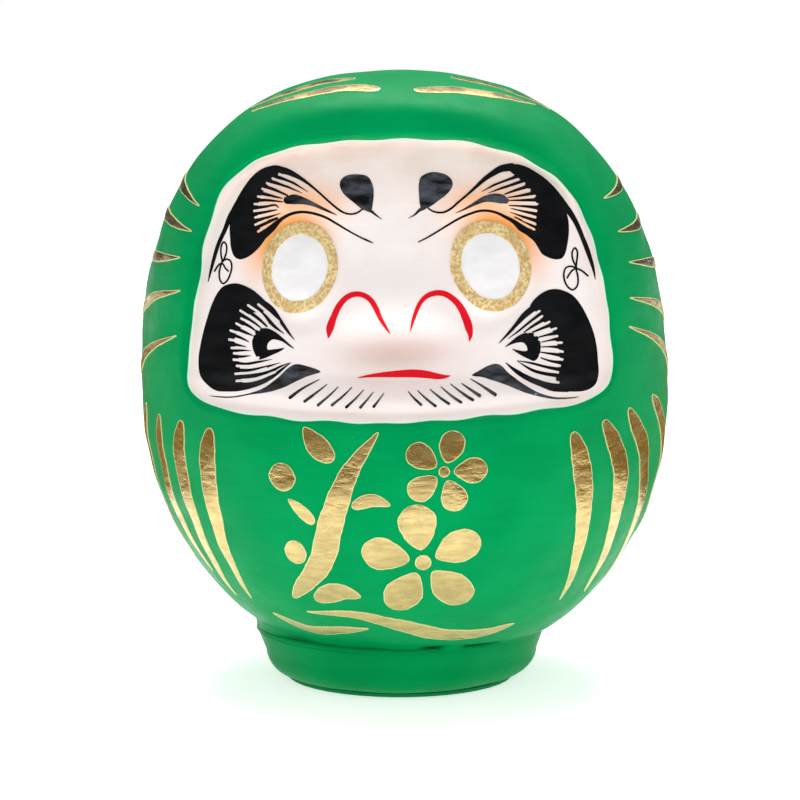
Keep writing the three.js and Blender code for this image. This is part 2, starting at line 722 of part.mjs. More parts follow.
for (const side of ['left', 'right']) {
  BELLY_STRIPES[side].forEach(({ line, widest }, i) => {
    const stripe = foilStroke(place(line), brushWidth(widest, 0.36, 0.7), 12, 1);
    addPiece(`belly_stripe_${side}_${i + 1}`, stripe, goldFoil);
  });
  HOOD_TICKS[side].forEach((line, i) => {
    const tick = foilStroke(place(line), brushWidth(TICK_HALF_WIDTH, 0.25, 0.8), 8, 1);
    addPiece(`hood_tick_${side}_${i + 1}`, tick, goldFoil);
  });
  CROWN_STROKES[side].forEach((line, i) => {
    const stroke = foilStroke(place(line), brushWidth(CROWN_HALF_WIDTH, 0.3, 0.7), 12, 1);
    addPiece(`crown_stroke_${side}_${i + 1}`, stroke, goldFoil);
  });
}

FLOURISH.forEach(({ line, widest }, i) => {
  const sweep = foilStroke(line.map(drawn), brushWidth(widest * drawnScale, 0.55, 0.7), 14, 1);
  addPiece(`flourish_${i + 1}`, sweep, goldFoil);
});

for (const { name, widest, line } of SPRIG_BRUSH) {
  const stroke = foilStroke(line.map(drawn), brushWidth(widest * drawnScale, 0.4, 0.7), 12, 1);
  addPiece(`sprig_${name}`, stroke, goldFoil);
}
SPRIG_BUDS.forEach(({ across, level, radius }, i) => {
  addPiece(`sprig_bud_${i + 1}`, dotStroke(across, level, radius), goldFoil);
});
for (const flower of SPRIG_FLOWERS) {
  flowerPetals(flower).forEach((petal, i) => {
    addPiece(`${flower.name}_petal_${i + 1}`, petal, goldFoil);
  });
  const centre = dotStroke(flower.across, flower.level, FLOWER_CENTRE * flower.radius);
  addPiece(`${flower.name}_centre`, centre, goldFoil);
}

export default doll;
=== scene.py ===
"""A papier-mache daruma doll: painted shell, foot, face and gold foil around its CAD frame."""

import math

import bpy
import numpy as np
from bpy.props import FloatProperty, FloatVectorProperty, PointerProperty
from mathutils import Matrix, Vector, geometry


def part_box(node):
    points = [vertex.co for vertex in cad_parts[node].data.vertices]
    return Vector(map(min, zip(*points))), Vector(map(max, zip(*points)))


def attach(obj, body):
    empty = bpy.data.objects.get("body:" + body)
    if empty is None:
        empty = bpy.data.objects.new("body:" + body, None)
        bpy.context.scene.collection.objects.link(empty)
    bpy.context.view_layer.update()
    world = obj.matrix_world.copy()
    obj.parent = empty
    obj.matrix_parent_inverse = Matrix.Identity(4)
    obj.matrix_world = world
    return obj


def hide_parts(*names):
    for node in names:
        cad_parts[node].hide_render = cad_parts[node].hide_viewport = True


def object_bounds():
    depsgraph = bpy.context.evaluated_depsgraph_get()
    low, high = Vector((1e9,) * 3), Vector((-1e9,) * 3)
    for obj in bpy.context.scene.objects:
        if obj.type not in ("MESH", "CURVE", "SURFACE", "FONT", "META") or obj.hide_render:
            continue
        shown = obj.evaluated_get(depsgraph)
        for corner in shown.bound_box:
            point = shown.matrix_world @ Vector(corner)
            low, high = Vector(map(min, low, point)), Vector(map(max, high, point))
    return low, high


bl_info = {
    "name": "Daruma Doll",
    "version": (1, 0, 0),
    "blender": (4, 5, 0),
    "location": "3D View > Sidebar > Daruma",
    "description": "Builds a papier-mache daruma doll with a painted face and gold foil",
    "category": "Add Mesh",
}

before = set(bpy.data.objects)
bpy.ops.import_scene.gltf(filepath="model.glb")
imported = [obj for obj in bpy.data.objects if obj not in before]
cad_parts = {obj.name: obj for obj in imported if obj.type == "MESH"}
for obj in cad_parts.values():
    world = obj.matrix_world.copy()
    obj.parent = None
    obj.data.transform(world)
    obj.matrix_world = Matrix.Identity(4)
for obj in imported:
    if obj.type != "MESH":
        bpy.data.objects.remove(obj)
CAD_LOW, CAD_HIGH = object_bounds()
ROOT = "root"
MM = 0.001  # the shapes below are worked out in millimetres

# Left is -X and right is +X, as seen by someone who faces the doll.

# ---- The body's skin -----------------------------------------------------------------
# A point of the skin is named by its azimuth (0 is +X, -90 degrees is the front) and its
# polar angle (90 degrees is the crown, 0 the belly's widest height).

HEIGHT = round(CAD_HIGH.z / MM, 1)
HALF_WIDTH = 64.8
HALF_DEPTH = 62.0
BELLY_HEIGHT = 72.0
UNDERSIDE_RISE = 3.0
CROWN_RISE = HEIGHT - BELLY_HEIGHT
BELLY_DROP = BELLY_HEIGHT - UNDERSIDE_RISE
CROWN_FULLNESS = 2.4
HOOD_SQUARENESS = 4.0
BELLY_FULLNESS = 2.08

FOOT_LOW, FOOT_TOP = (corner.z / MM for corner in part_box("foot_cup"))
FOOT_TOP_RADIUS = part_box("foot_cup")[1].x / MM
FOOT_TAPER = 1.8
FOOT_EDGE_RADIUS = 6.0
FOOT_WALL = 1.6
JOINT_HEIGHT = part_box("front_shell")[0].z / MM
BELLY_RUN = BELLY_HEIGHT - JOINT_HEIGHT
JOINT_DROP = BELLY_RUN / BELLY_DROP
JOINT_REACH = (1 - JOINT_DROP**BELLY_FULLNESS) ** (1 / BELLY_FULLNESS)
JOINT_POLAR = -math.atan2(JOINT_DROP, JOINT_REACH)
NECK_FLANGE = 9.5
NECK_RADIUS = JOINT_REACH * HALF_DEPTH - NECK_FLANGE

BODY_SHIFT = 2.2
BODY_LEAN = math.tan(math.radians(1))
HOOD_SETBACK = 16.0
HOOD_TOP_BAND = 10.0
HOOD_SLOPE = 0.177
HOOD_BOW_RADIUS = 78.0
HOOD_BLEND = 4.0
LIP_TOP = 10.0
LIP_BOTTOM = -4.0
LIP_REACH = 30.0

FACE_AXIS = 0.4
FACE_HALF_WIDTH = HALF_WIDTH - 14
FACE_BOTTOM = BELLY_HEIGHT + 0.2
FACE_HEIGHT = HEIGHT - 12.7 - FACE_BOTTOM
FACE_DEPTH_TOP = 5.0
FACE_DEPTH_BOTTOM = 2.6
FACE_WALL_OUTSIDE = 1.0
FACE_WALL_INSIDE = 2.0
FACE_REACH = 8.0  # no distance from the face's edge is worked out beyond this
FAR_OUTSIDE = -10.0

# Right half of the face's edge, as shares of its half width and its height.
FACE_EDGE = (
    (0, 1), (0.335, 0.983), (0.53, 0.949), (0.67, 0.9), (0.78, 0.834), (0.876, 0.703),
    (0.945, 0.51), (0.988, 0.31), (1, 0.135), (0.974, 0.077), (0.896, 0.034), (0.67, 0.017),
    (0.335, 0.006), (0, 0),
)  # fmt: skip

# Soft swellings of the face: offset and level as shares of its half width and height, half
# size across and up, how far each stands out, and the sides that have it.
SWELLINGS = (
    (0, 0.41, 11, 7, 3.6, (1,)),  # nose
    (0, 0.29, 12, 4, -1.8, (1,)),  # groove above the lip
    (0.2, 0.365, 4.5, 5, 1.2, (-1, 1)),  # nostril wings
    (0.51, 0.765, 14, 6, 1.4, (-1, 1)),  # brows
    (0.66, 0.243, 10, 9, 1, (-1, 1)),  # cheeks
    (0.02, 0.166, 9, 3, 0.8, (1,)),  # lips
    (0, 0.066, 20, 3, 0.5, (1,)),  # chin
)
EYE_OFFSET = 0.438
EYE_LEVEL = 0.524
EYE_HALF_WIDTH = 9.3
EYE_HALF_HEIGHT = 10.6
EYE_DOME = 1.4
EYE_SOCKET_RADIUS = 1.15
EYE_SOCKET_WIDTH = 0.25
RELIEF_MARGIN = 4.0

# Slow waves that a hand leaves in pulp and paint: radians per millimetre along each axis,
# and a phase.
HAND_WAVES = (
    (0.21, 0.13, 0.34, 0.4),
    (-0.29, 0.24, 0.17, 1.9),
    (0.11, -0.36, 0.22, 3.1),
    (0.42, 0.19, -0.28, 5.0),
    (-0.16, -0.11, 0.51, 2.2),
)
ANGLE_STEP = 0.002
HALVINGS = 36  # of the range of azimuths in which a point of the front is looked for
POLE = math.pi / 2


def smoothstep(value, low, high):
    share = np.clip((value - low) / (high - low), 0, 1)
    return share * share * (3 - 2 * share)


def smooth_min(a, b, blend):
    share = np.clip(0.5 + (b - a) / (2 * blend), 0, 1)
    return b + (a - b) * share - blend * share * (1 - share)


def ripple(value, waves):
    """A sum of sine waves, each with a size, a rate and a phase."""
    return sum(size * np.sin(rate * value + phase) for size, rate, phase in waves)


def sway(z):
    return BODY_SHIFT - BODY_LEAN * (z - FOOT_TOP)


def hood_exponent(azimuth):
    frontness = np.maximum(0, -np.sin(azimuth))
    return CROWN_FULLNESS + (HOOD_SQUARENESS - CROWN_FULLNESS) * frontness**2


def plain_body(azimuth, polar):
    exponent = np.where(polar >= 0, hood_exponent(azimuth), BELLY_FULLNESS)
    cosine = np.abs(np.cos(polar))
    sine = np.abs(np.sin(polar))
    reach = (cosine**exponent + sine**exponent) ** (-1 / exponent)
    rise = np.where(polar >= 0, CROWN_RISE, BELLY_DROP)
    x = HALF_WIDTH * reach * cosine * np.cos(azimuth)
    y = HALF_DEPTH * reach * cosine * np.sin(azimuth)
    return x, y, BELLY_HEIGHT + rise * reach * np.sin(polar)


def hood_front(x, z):
    flat_front = HALF_DEPTH - HOOD_SETBACK + HOOD_SLOPE * (HEIGHT - HOOD_TOP_BAND - z)
    bow = x * x / (2 * HOOD_BOW_RADIUS)
    lip = smoothstep(z, BELLY_HEIGHT + LIP_BOTTOM, BELLY_HEIGHT + LIP_TOP)
    return flat_front - bow + LIP_REACH * (1 - lip)


def spline(points, spans, closed, centripetal=True):
    """Points of a Catmull-Rom curve through the given ones, spans of them for each gap."""
    points = np.asarray(points, float)
    count = len(points)
    if closed:
        padded = np.vstack([points[-1], points, points[0], points[1]])
        gaps = count
    else:
        padded = np.vstack([2 * points[0] - points[1], points, 2 * points[-1] - points[-2]])
        gaps = count - 1
    power = 0.5 if centripetal else 0.0
    curve = []
    for i in range(gaps):
        p = padded[i : i + 4]
        chords = np.maximum(np.linalg.norm(np.diff(p[:, :2], axis=0), axis=1), 1e-6)
        knots = np.concatenate([[0], np.cumsum(chords**power)])
        t = np.linspace(knots[1], knots[2], spans, endpoint=False)[:, None]
        a = [
            (knots[k + 1] - t) / (knots[k + 1] - knots[k]) * p[k]
            + (t - knots[k]) / (knots[k + 1] - knots[k]) * p[k + 1]
            for k in range(3)
        ]
        b = [
            (knots[k + 2] - t) / (knots[k + 2] - knots[k]) * a[k]
            + (t - knots[k]) / (knots[k + 2] - knots[k]) * a[k + 1]
            for k in range(2)
        ]
        share = (t - knots[1]) / (knots[2] - knots[1])
        curve.append((1 - share) * b[0] + share * b[1])
    if not closed:
        curve.append(points[-1:])
    return np.vstack(curve)


def face_outline():
    left_half = [(-u, v) for u, v in reversed(FACE_EDGE[1:-1])]
    shares = np.array([*FACE_EDGE, *left_half], float)
    corners = shares * (FACE_HALF_WIDTH, FACE_HEIGHT) + (FACE_AXIS, FACE_BOTTOM)
    return spline(corners, 6, closed=True)


def winding(x, z, outline):
    """How often the closed outline turns round each point."""
    turns = np.zeros(len(x), int)
    for a, b in zip(outline, np.roll(outline, -1, axis=0)):
        side = (b[0] - a[0]) * (z - a[1]) - (x - a[0]) * (b[1] - a[1])
        turns += (a[1] <= z) & (z < b[1]) & (side > 0)
        turns -= (b[1] <= z) & (z < a[1]) & (side < 0)
    return turns


def edge_distance(x, z, outline):
    nearest = np.full(len(x), np.inf)
    for a, b in zip(outline, np.roll(outline, -1, axis=0)):
        edge = b - a
        along = np.clip(((x - a[0]) * edge[0] + (z - a[1]) * edge[1]) / (edge @ edge), 0, 1)
        gap = np.hypot(x - a[0] - along * edge[0], z - a[1] - along * edge[1])
        nearest = np.minimum(nearest, gap)
    return nearest


OUTLINE = face_outline()


def upright(x, z):
    """The face leans with the body: the height on an upright doll of a point of the face."""
    return z - BODY_LEAN * x


def inside_face(x, leaning_z):
    """Distance from the face's edge in the front view, positive inside."""
    z = upright(x, leaning_z)
    distance = np.full(x.shape, FAR_OUTSIDE)
    near = (np.abs(x - FACE_AXIS) < FACE_HALF_WIDTH + FACE_REACH) & (
        np.abs(z - FACE_BOTTOM - FACE_HEIGHT / 2) < FACE_HEIGHT / 2 + FACE_REACH
    )
    nx, nz = x[near], z[near]
    gap = edge_distance(nx, nz, OUTLINE)
    distance[near] = np.where(winding(nx, nz, OUTLINE) != 0, gap, -gap)
    return distance


def eye_centre(side):
    across = FACE_AXIS + side * EYE_OFFSET * FACE_HALF_WIDTH
    return across, FACE_BOTTOM + EYE_LEVEL * FACE_HEIGHT


def face_relief(x, leaning_z, inside):
    z = upright(x, leaning_z)
    relief = np.zeros_like(x)
    for side in (-1, 1):
        centre_x, centre_z = eye_centre(side)
        radius = np.hypot((x - centre_x) / EYE_HALF_WIDTH, (z - centre_z) / EYE_HALF_HEIGHT)
        relief += EYE_DOME * np.maximum(0, 1 - radius**2)
        relief -= np.exp(-(((radius - EYE_SOCKET_RADIUS) / EYE_SOCKET_WIDTH) ** 2))
    for offset, level, wide, high, out, sides in SWELLINGS:
        for side in sides:
            across = (x - FACE_AXIS - side * offset * FACE_HALF_WIDTH) / wide
            up = (z - FACE_BOTTOM - level * FACE_HEIGHT) / high
            relief += out * np.exp(-(across**2) - up**2)
    return relief * smoothstep(inside, 0, RELIEF_MARGIN)


def skin(azimuth, polar, relief=True):
    x, y, z = plain_body(azimuth, polar)
    inside = inside_face(x, z)
    edge = smoothstep(inside, -FACE_WALL_OUTSIDE, FACE_WALL_INSIDE)
    level = np.clip((upright(x, z) - FACE_BOTTOM) / FACE_HEIGHT, 0, 1)
    recess = edge * (FACE_DEPTH_BOTTOM + (FACE_DEPTH_TOP - FACE_DEPTH_BOTTOM) * level)
    depth = smooth_min(-y, hood_front(x, z), HOOD_BLEND) - recess
    if relief:
        depth += face_relief(x, z, inside)
    y = np.where(y < 0, -np.maximum(depth, 0), y)
    return np.stack([x + sway(z), y, z], axis=-1)


def skin_normal(azimuth, polar, relief=True):
    h = ANGLE_STEP
    round_body = skin(azimuth + h, polar, relief) - skin(azimuth - h, polar, relief)
    up_body = skin(azimuth, polar + h, relief) - skin(azimuth, polar - h, relief)
    normal = np.cross(round_body, up_body)
    normal[polar > POLE - 2 * ANGLE_STEP] = (0, 0, 1)
    return normal / np.linalg.norm(normal, axis=-1, keepdims=True)


def hand_wave(points):
    x, y, z = np.moveaxis(points, -1, 0)
    waves = [np.sin(a * x + b * y + c * z + phase) for a, b, c, phase in HAND_WAVES]
    return sum(waves) / len(waves)


def lifted_skin(azimuth, polar, lift, relief=True):
    """The skin moved out by lift millimetres, with the waves of the maker's hand."""
    points = skin(azimuth, polar, relief)
    height = lift + hand_wave(points) * sizes().hand_wave / MM
    return points + skin_normal(azimuth, polar, relief) * np.reshape(height, (-1, 1))


def front_angles(x, z):
    """Azimuth and polar angle of the front skin at each x and z of the upright body."""
    above = z >= BELLY_HEIGHT
    share = np.where(above, (z - BELLY_HEIGHT) / CROWN_RISE, (BELLY_HEIGHT - z) / BELLY_DROP)
    low = np.full(x.shape, -math.pi)
    high = np.zeros(x.shape)
    for _ in range(HALVINGS):
        azimuth = (low + high) / 2
        exponent = np.where(above, hood_exponent(azimuth), BELLY_FULLNESS)
        reach = np.maximum(0, 1 - share**exponent) ** (1 / exponent)
        beyond = HALF_WIDTH * reach * np.cos(azimuth) > x
        high = np.where(beyond, azimuth, high)
        low = np.where(beyond, low, azimuth)
    return azimuth, np.arctan2(np.where(above, share, -share), reach)


# ---- Settings a user would change ----------------------------------------------------


def srgb(red, green, blue):
    """A colour given as 0 to 255 on screen, as the linear values that the shaders take."""
    shares = (value / 255 for value in (red, green, blue))
    return tuple(v / 12.92 if v <= 0.04045 else ((v + 0.055) / 1.055) ** 2.4 for v in shares)


def length(name, description, default_mm):
    limits = {"min": 0, "unit": "LENGTH", "precision": 5}
    return FloatProperty(name=name, description=description, default=default_mm * MM, **limits)


def colour(name, description, red, green, blue):
    return FloatVectorProperty(
        name=name,
        description=description,
        default=srgb(red, green, blue),
        size=3,
        min=0,
        max=1,
        subtype="COLOR",
    )


class DarumaSizes(bpy.types.PropertyGroup):
    """Thicknesses that a maker of the doll would choose"""

    shell_wall: length("Shell wall", "Thickness of the pressed paper pulp", 2)
    hand_wave: length("Hand wave", "Height of the slow waves in the pulp", 0.3)
    paint_film: length("Paint", "Height of a brush stroke over the skin", 0.1)
    ring_film: length("Eye rings", "Height of the glitter rings over the skin", 0.28)
    foil_film: length("Foil", "Height of the gold foil over the skin", 0.25)
    foil_rim: length("Foil rim", "Width of the pale line along the foil's edge", 0.26)
    face_rim: length("Face rim", "Width of the pale line round the face", 0.35)


class DarumaColours(bpy.types.PropertyGroup):
    """Colours of the paints, foils and papers"""

    green: colour("Body green", "Paint of the body", 0, 147, 81)
    # The foot's green is the body's green a little darker: painted shade.
    foot_shaded_green: colour("Foot green", "Paint of the foot", 0, 140, 74)
    face: colour("Face", "Ground colour of the face", 247, 238, 236)
    # Painted shade along the face's top and edge; the same tint also makes faint random patches.
    face_patches_and_painted_shade: colour("Face shade", "Flesh tint brushed along the face's top", 230, 204, 192)
    face_rim: colour("Face rim", "Pale line where face and body paint meet", 214, 244, 226)
    # The tint above the mouth is partly blush and partly painted shadow under the nose.
    blush_and_nose_shadow: colour("Blush", "Soft tint above the mouth", 226, 186, 172)
    orange: colour("Orange", "Glow brushed above the eyes", 254, 166, 70)
    black: colour("Black", "Ink of the brows and cheeks", 8, 9, 12)
    # Grey streaks of the drops, fins and whiskers: partly greyer ink, partly painted sheen.
    grey_ink_and_sheen: colour("Grey ink", "Worn ink of the drops, fins and whiskers", 80, 84, 92)
    red: colour("Red", "Nose lines and mouth", 230, 14, 34)
    eye: colour("Eye white", "Blank white of the eyes", 241, 239, 240)
    ring_pale: colour("Ring gold", "Light grains of the eye rings", 252, 232, 178)
    ring_dark: colour("Ring shade", "Dark grains of the eye rings", 212, 172, 104)
    foil: colour("Gold foil", "Metal of the foil", 214, 190, 130)
    foil_rim: colour("Foil rim", "Pale adhesive along the foil's edge", 226, 226, 164)
    paper: colour("Paper", "Unpainted washi paper", 236, 227, 208)
    clay: colour("Clay", "Dried clay of the weight", 160, 126, 94)


class DarumaStage(bpy.types.PropertyGroup):
    """Place of the camera and strength of the lights"""

    camera_distance: length("Camera distance", "From the doll, along the ground", 900)
    camera_height: length("Camera height", "Over the ground", 200)
    camera_azimuth: FloatProperty(
        name="Camera azimuth",
        description="Turn to the right, facing the doll",
        default=math.radians(3),
        subtype="ANGLE",
    )
    aim_height: length("Aim height", "Height that the camera looks at", 68.8)
    lens: FloatProperty(name="Lens", description="Focal length in millimetres", default=165.4, min=1)
    top_light: FloatProperty(name="Top light", description="Power in watts", default=14, min=0)
    front_light: FloatProperty(name="Front light", description="Power in watts", default=1.65, min=0)
    surround: FloatProperty(name="Surround", description="Light from all round", default=0.52, min=0)
    floor_radius: length("Floor radius", "Size of the pale floor", 2600)


def sizes():
    return bpy.context.scene.daruma_sizes


def colours():
    return bpy.context.scene.daruma_colours


# ---- Meshes --------------------------------------------------------------------------


def new_piece(name, points, faces, material, replaced=(), crease=None):
    """A mesh object from points in millimetres, riding on the doll."""
    mesh = bpy.data.meshes.new(name)
    mesh.from_pydata((np.asarray(points) * MM).tolist(), [], [tuple(f) for f in faces])
    mesh.validate()
    mesh.update()
    mesh.polygons.foreach_set("use_smooth", [True] * len(mesh.polygons))
    if crease is not None:
        mesh.set_sharp_from_angle(angle=math.radians(crease))
    mesh.materials.append(material)
    piece = bpy.data.objects.new(name, mesh)
    bpy.context.scene.collection.objects.link(piece)
    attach(piece, ROOT)
    if replaced:
        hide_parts(*replaced)
    return piece


def set_attribute(piece, name, values):
    attribute = piece.data.attributes.new(name, "FLOAT", "POINT")
    attribute.data.foreach_set("value", np.asarray(values, np.float32))


def around_axis(turn, radius, height):
    """Points at each turn round the vertical axis."""
    places = (np.cos(turn) * radius, np.sin(turn) * radius, np.ones_like(turn) * height)
    return np.stack(places, axis=-1)


def grid_faces(rows, columns, close_rows=False, close_columns=False):
    """Four-sided faces over rows of points, closed round either way if asked."""
    faces = []
    for i in range(rows if close_rows else rows - 1):
        for j in range(columns if close_columns else columns - 1):
            a, b = i * columns + j, i * columns + (j + 1) % columns
            c = (i + 1) % rows * columns + (j + 1) % columns
            d = (i + 1) % rows * columns + j
            faces.append((a, b, c, d))
    return faces


def joined(parts):
    """Points, faces and rim distances of several closed meshes as one."""
    points, faces, rims = [], [], []
    start = 0
    for part_points, part_faces, part_rims in parts:
        points.append(part_points)
        faces.extend(tuple(i + start for i in face) for face in part_faces)
        rims.append(part_rims)
        start += len(part_points)
    return np.vstack(points), faces, np.concatenate(rims)


# ---- Shell halves --------------------------------------------------------------------

FRONT_COLUMNS = ((-180, -145, 34), (-145, -35, 146), (-35, 0, 34))
BACK_COLUMNS = ((0, 180, 150),)
SHELL_ROWS = ((90, 60, 20), (60, -2, 108), (-2, math.degrees(JOINT_POLAR), 58))
FLANGE_ROWS = 3
INNER_POLAR_MARGIN = math.radians(2.6)  # the inner wall ends this far above the joint


def stepped(spans):
    """Angles in radians along spans of degrees, each divided into its own count."""
    values = [np.linspace(a, b, count, endpoint=False) for a, b, count in spans]
    return np.radians(np.concatenate([*values, [spans[-1][1]]]))


def flange_rows(edge, height):
    """Rings from the shell's lower edge in to the neck."""
    azimuth = np.arctan2(edge[:, 1], edge[:, 0] - sway(JOINT_HEIGHT))
    neck_x = sway(JOINT_HEIGHT) + NECK_RADIUS * np.cos(azimuth)
    neck = np.stack([neck_x, NECK_RADIUS * np.sin(azimuth), np.full(len(edge), height)], axis=-1)
    shares = np.linspace(0, 1, FLANGE_ROWS + 1)[1:]
    return [edge + share * (neck - edge) for share in shares]


def shell_layers(azimuth, polar):
    """Rings of the outer skin and of the inner wall, each with its side of the flange."""
    shape = (*azimuth.shape, 3)
    wall = sizes().shell_wall / MM
    inner_end = JOINT_POLAR + INNER_POLAR_MARGIN
    inner_polar = POLE + (polar - POLE) * (inner_end - POLE) / (JOINT_POLAR - POLE)
    outer = lifted_skin(azimuth.ravel(), polar.ravel(), 0).reshape(shape)
    inner = lifted_skin(azimuth.ravel(), inner_polar.ravel(), -wall, relief=False).reshape(shape)
    layers = []
    for layer, height in ((outer, JOINT_HEIGHT), (inner, JOINT_HEIGHT + wall)):
        layer[-1, :, 2] = height
        layers.append(np.concatenate([layer, np.stack(flange_rows(layer[-1], height))]))
    return layers


def shell_faces(depth, ring):
    """Faces over two points at the crown and then the rings of the outer and inner layers."""

    def at(layer, row, column):
        return 2 + layer * depth * ring + row * ring + column

    faces = []
    shift = depth * ring
    for column in range(ring - 1):
        faces.append((0, at(0, 0, column), at(0, 0, column + 1)))
        faces.append((1, at(1, 0, column + 1), at(1, 0, column)))
        for row in range(depth - 1):
            a, b = at(0, row, column), at(0, row, column + 1)
            c, d = at(0, row + 1, column + 1), at(0, row + 1, column)
            faces.append((a, d, c, b))
            faces.append((a + shift, b + shift, c + shift, d + shift))
        a, b = at(0, depth - 1, column), at(0, depth - 1, column + 1)
        faces.append((a, a + shift, b + shift, b))
    for column, flip in ((0, False), (ring - 1, True)):
        cut = [(0, 1, at(1, 0, column), at(0, 0, column))]
        for row in range(depth - 1):
            quad = (at(0, row, column), at(1, row, column))
            cut.append((*quad, at(1, row + 1, column), at(0, row + 1, column)))
        faces.extend(tuple(reversed(face)) if flip else face for face in cut)
    return faces


def shell_half(name, column_spans, material):
    """One half of the shell, closed: outer skin, inner wall, flange and cut faces."""
    azimuth, polar = np.meshgrid(stepped(column_spans), stepped(SHELL_ROWS)[1:])
    layers = shell_layers(azimuth, polar)
    crown = lifted_skin(np.zeros(1), np.array([POLE]), 0)
    inner_crown = crown - (0, 0, sizes().shell_wall / MM)
    points = np.vstack([crown, inner_crown, *(layer.reshape(-1, 3) for layer in layers)])
    faces = shell_faces(*layers[0].shape[:2])
    piece = new_piece(f"{name}_skin", points, faces, material, [name], crease=50)
    return piece, azimuth.ravel(), polar.ravel()


# Soft spots of colour: middle across and up, half size across and up.
OVER_BROW = (-0.1, 1.45, 1.1, 0.42)  # this one in eye radii
OVER_BROW_GLOW = 0.75
EYE_GLOW_START = 0.95  # in eye radii
EYE_GLOW_REACH = 0.54
# The spot under the nose is partly blush and partly painted shadow of the nose.
BLUSH_AND_NOSE_SHADOW = (2.0, 87.3, 14.0, 4.2)
CHIN_BLUSH = (3.0, 79.0, 16.0, 2.6)
CHIN_BLUSH_SHARE = 0.35
EDGE_WAVER = 0.16

# Where the body's paint laps into the recess: how far, and middle and half size of the place.
FACE_INSETS = (
    (1.5, (-48, 100, 12, 24)),  # the left side, from temple to cheek
    (0.9, (8, 139, 34, 6)),  # over the forehead
    (1.6, (36, 130, 11, 9)),  # the corner over the right brow
    (0.6, (30, 71, 22, 4)),  # under the right cheek
)


def soft_spot(x, z, spot):
    across, up, half_wide, half_high = spot
    return np.exp(-(((x - across) / half_wide) ** 2) - ((z - up) / half_high) ** 2)


def eye_glow(x, z):
    """Orange brushed above and outside each eye."""
    glow = np.zeros_like(x)
    for side in (-1, 1):
        centre_x, centre_z = eye_centre(side)
        across = side * (x - centre_x) / EYE_HALF_WIDTH
        up = (z - centre_z) / EYE_HALF_HEIGHT
        radius = np.hypot(across, up)
        facing = np.clip((up + 0.5 * across) / np.maximum(radius, 0.01), 0, 1)
        ring = np.exp(-((np.maximum(0, radius - EYE_GLOW_START) / EYE_GLOW_REACH) ** 2))
        over_brow = OVER_BROW_GLOW * soft_spot(across, up, OVER_BROW)
        glow = np.maximum(glow, np.maximum(ring * facing, over_brow))
    return glow


def brushed_edge(x, z):
    """How far inside the recess's edge the painted face ends, in millimetres."""
    inset = sum(amount * soft_spot(x, z, spot) for amount, spot in FACE_INSETS)
    return inset + EDGE_WAVER * (np.sin(0.5 * x + 0.3 * z) + 0.7 * np.sin(0.62 * z - 0.35 * x + 2))


def paint_guides(piece, azimuth, polar):
    """Numbers on the front half that tell its paint where the face is."""
    x, _, leaning_z = plain_body(azimuth, polar)
    z = upright(x, leaning_z)
    guides = {
        "face_edge": (inside_face(x, leaning_z) - brushed_edge(x, z), FAR_OUTSIDE),
        "glow": (eye_glow(x, z), 0),
        "blush_and_nose_shadow": (soft_spot(x, z, BLUSH_AND_NOSE_SHADOW) + CHIN_BLUSH_SHARE * soft_spot(x, z, CHIN_BLUSH), 0),
        "face_level": ((z - FACE_BOTTOM) / FACE_HEIGHT, 0),
    }
    outer_skin = slice(2, 2 + len(x))
    for name, (painted, elsewhere) in guides.items():
        values = np.full(len(piece.data.vertices), elsewhere, float)
        values[outer_skin] = painted
        set_attribute(piece, name, values)


# ---- Foot and the painted joint above it ---------------------------------------------

FOOT_COLUMNS = 180
FOOT_TOP_ROUNDING = 0.9
FOOT_SIDE_HEIGHT = 5.0
FOOT_DECK_WIDTH = 4.0
FOOT_WAVE = 0.35
FOOT_RIPPLE = ((1, 3, 0.8), (0.7, 5, 2.1), (0.4, 11, 0.3))
FOOT_PLAIN_SWELL = 1.6  # the ripple's height at which the foot keeps its plain radius
FOOT_TOP_SWELL = 0.25  # share of the wave that is left at the foot's top
# Where the joint shows: turn, spread and how far open.
JOINT_GAPS = (
    (-0.95, 0.16, 0.9),
    (-1.32, 0.1, 0.6),
    (-2.3, 0.2, 0.35),
    (-0.3, 0.2, 0.35),
    (1.1, 0.4, 0.5),
)
FILLET_COLUMNS = 240
FILLET_ROWS = 24
FILLET_CLIMB = 0.12  # radians that the rows cover above the joint
FILLET_ROWS_PER_MM = 2.6
FILLET_SIZE = 1.5  # usual height on the body
FILLET_RIPPLE = ((0.22, 4, 1), (0.15, 9, 0), (0.1, 17, 2))
FILLET_LEAST = 0.25
FILLET_SHRINK = 0.8  # share of the height that is lost where the joint is open
FILLET_ON_LEDGE = 2.2  # added to the height where the foot stands out
FILLET_ROOT = 0.1  # its edges lie this far inside body and foot
FILLET_DROP = 0.8  # reach down the foot, as a share of the height
FILLET_LOWEST = 1.3  # most that it reaches down the foot
FILLET_FULLNESS = 1.3  # added to its middle where the foot stands out
FILLET_GROOVE = 0.9  # depth of the open joint
FILLET_BEHIND = 1.6  # its hidden corner lies this far inside
FILLET_BEND = (0.2, 0.4, 0.6, 0.8)  # where along its curve the points between its edges lie
# How much of the joint's gap each point across the fillet shows, from inside to the foot; the foot's
# paint turns this into painted shade.
FILLET_OPENNESS = (0.0, 0.1, 0.7, 1.0, 0.8, 0.2, 0.0)


def arc(centre, radius, start, end, count):
    """Points of an arc in the section plane, angles in degrees from the outward direction."""
    angles = np.radians(np.linspace(start, end, count))
    return [(centre[0] + radius * math.cos(a), centre[1] + radius * math.sin(a)) for a in angles]


def lathe(section, columns):
    """Points and faces of a closed section turned round the vertical axis."""
    radius, height = np.asarray(section, float).T
    turn = np.linspace(0, 2 * math.pi, columns, endpoint=False)
    points = around_axis(turn[:, None], radius, height)
    return points, grid_faces(columns, len(section), close_rows=True, close_columns=True)


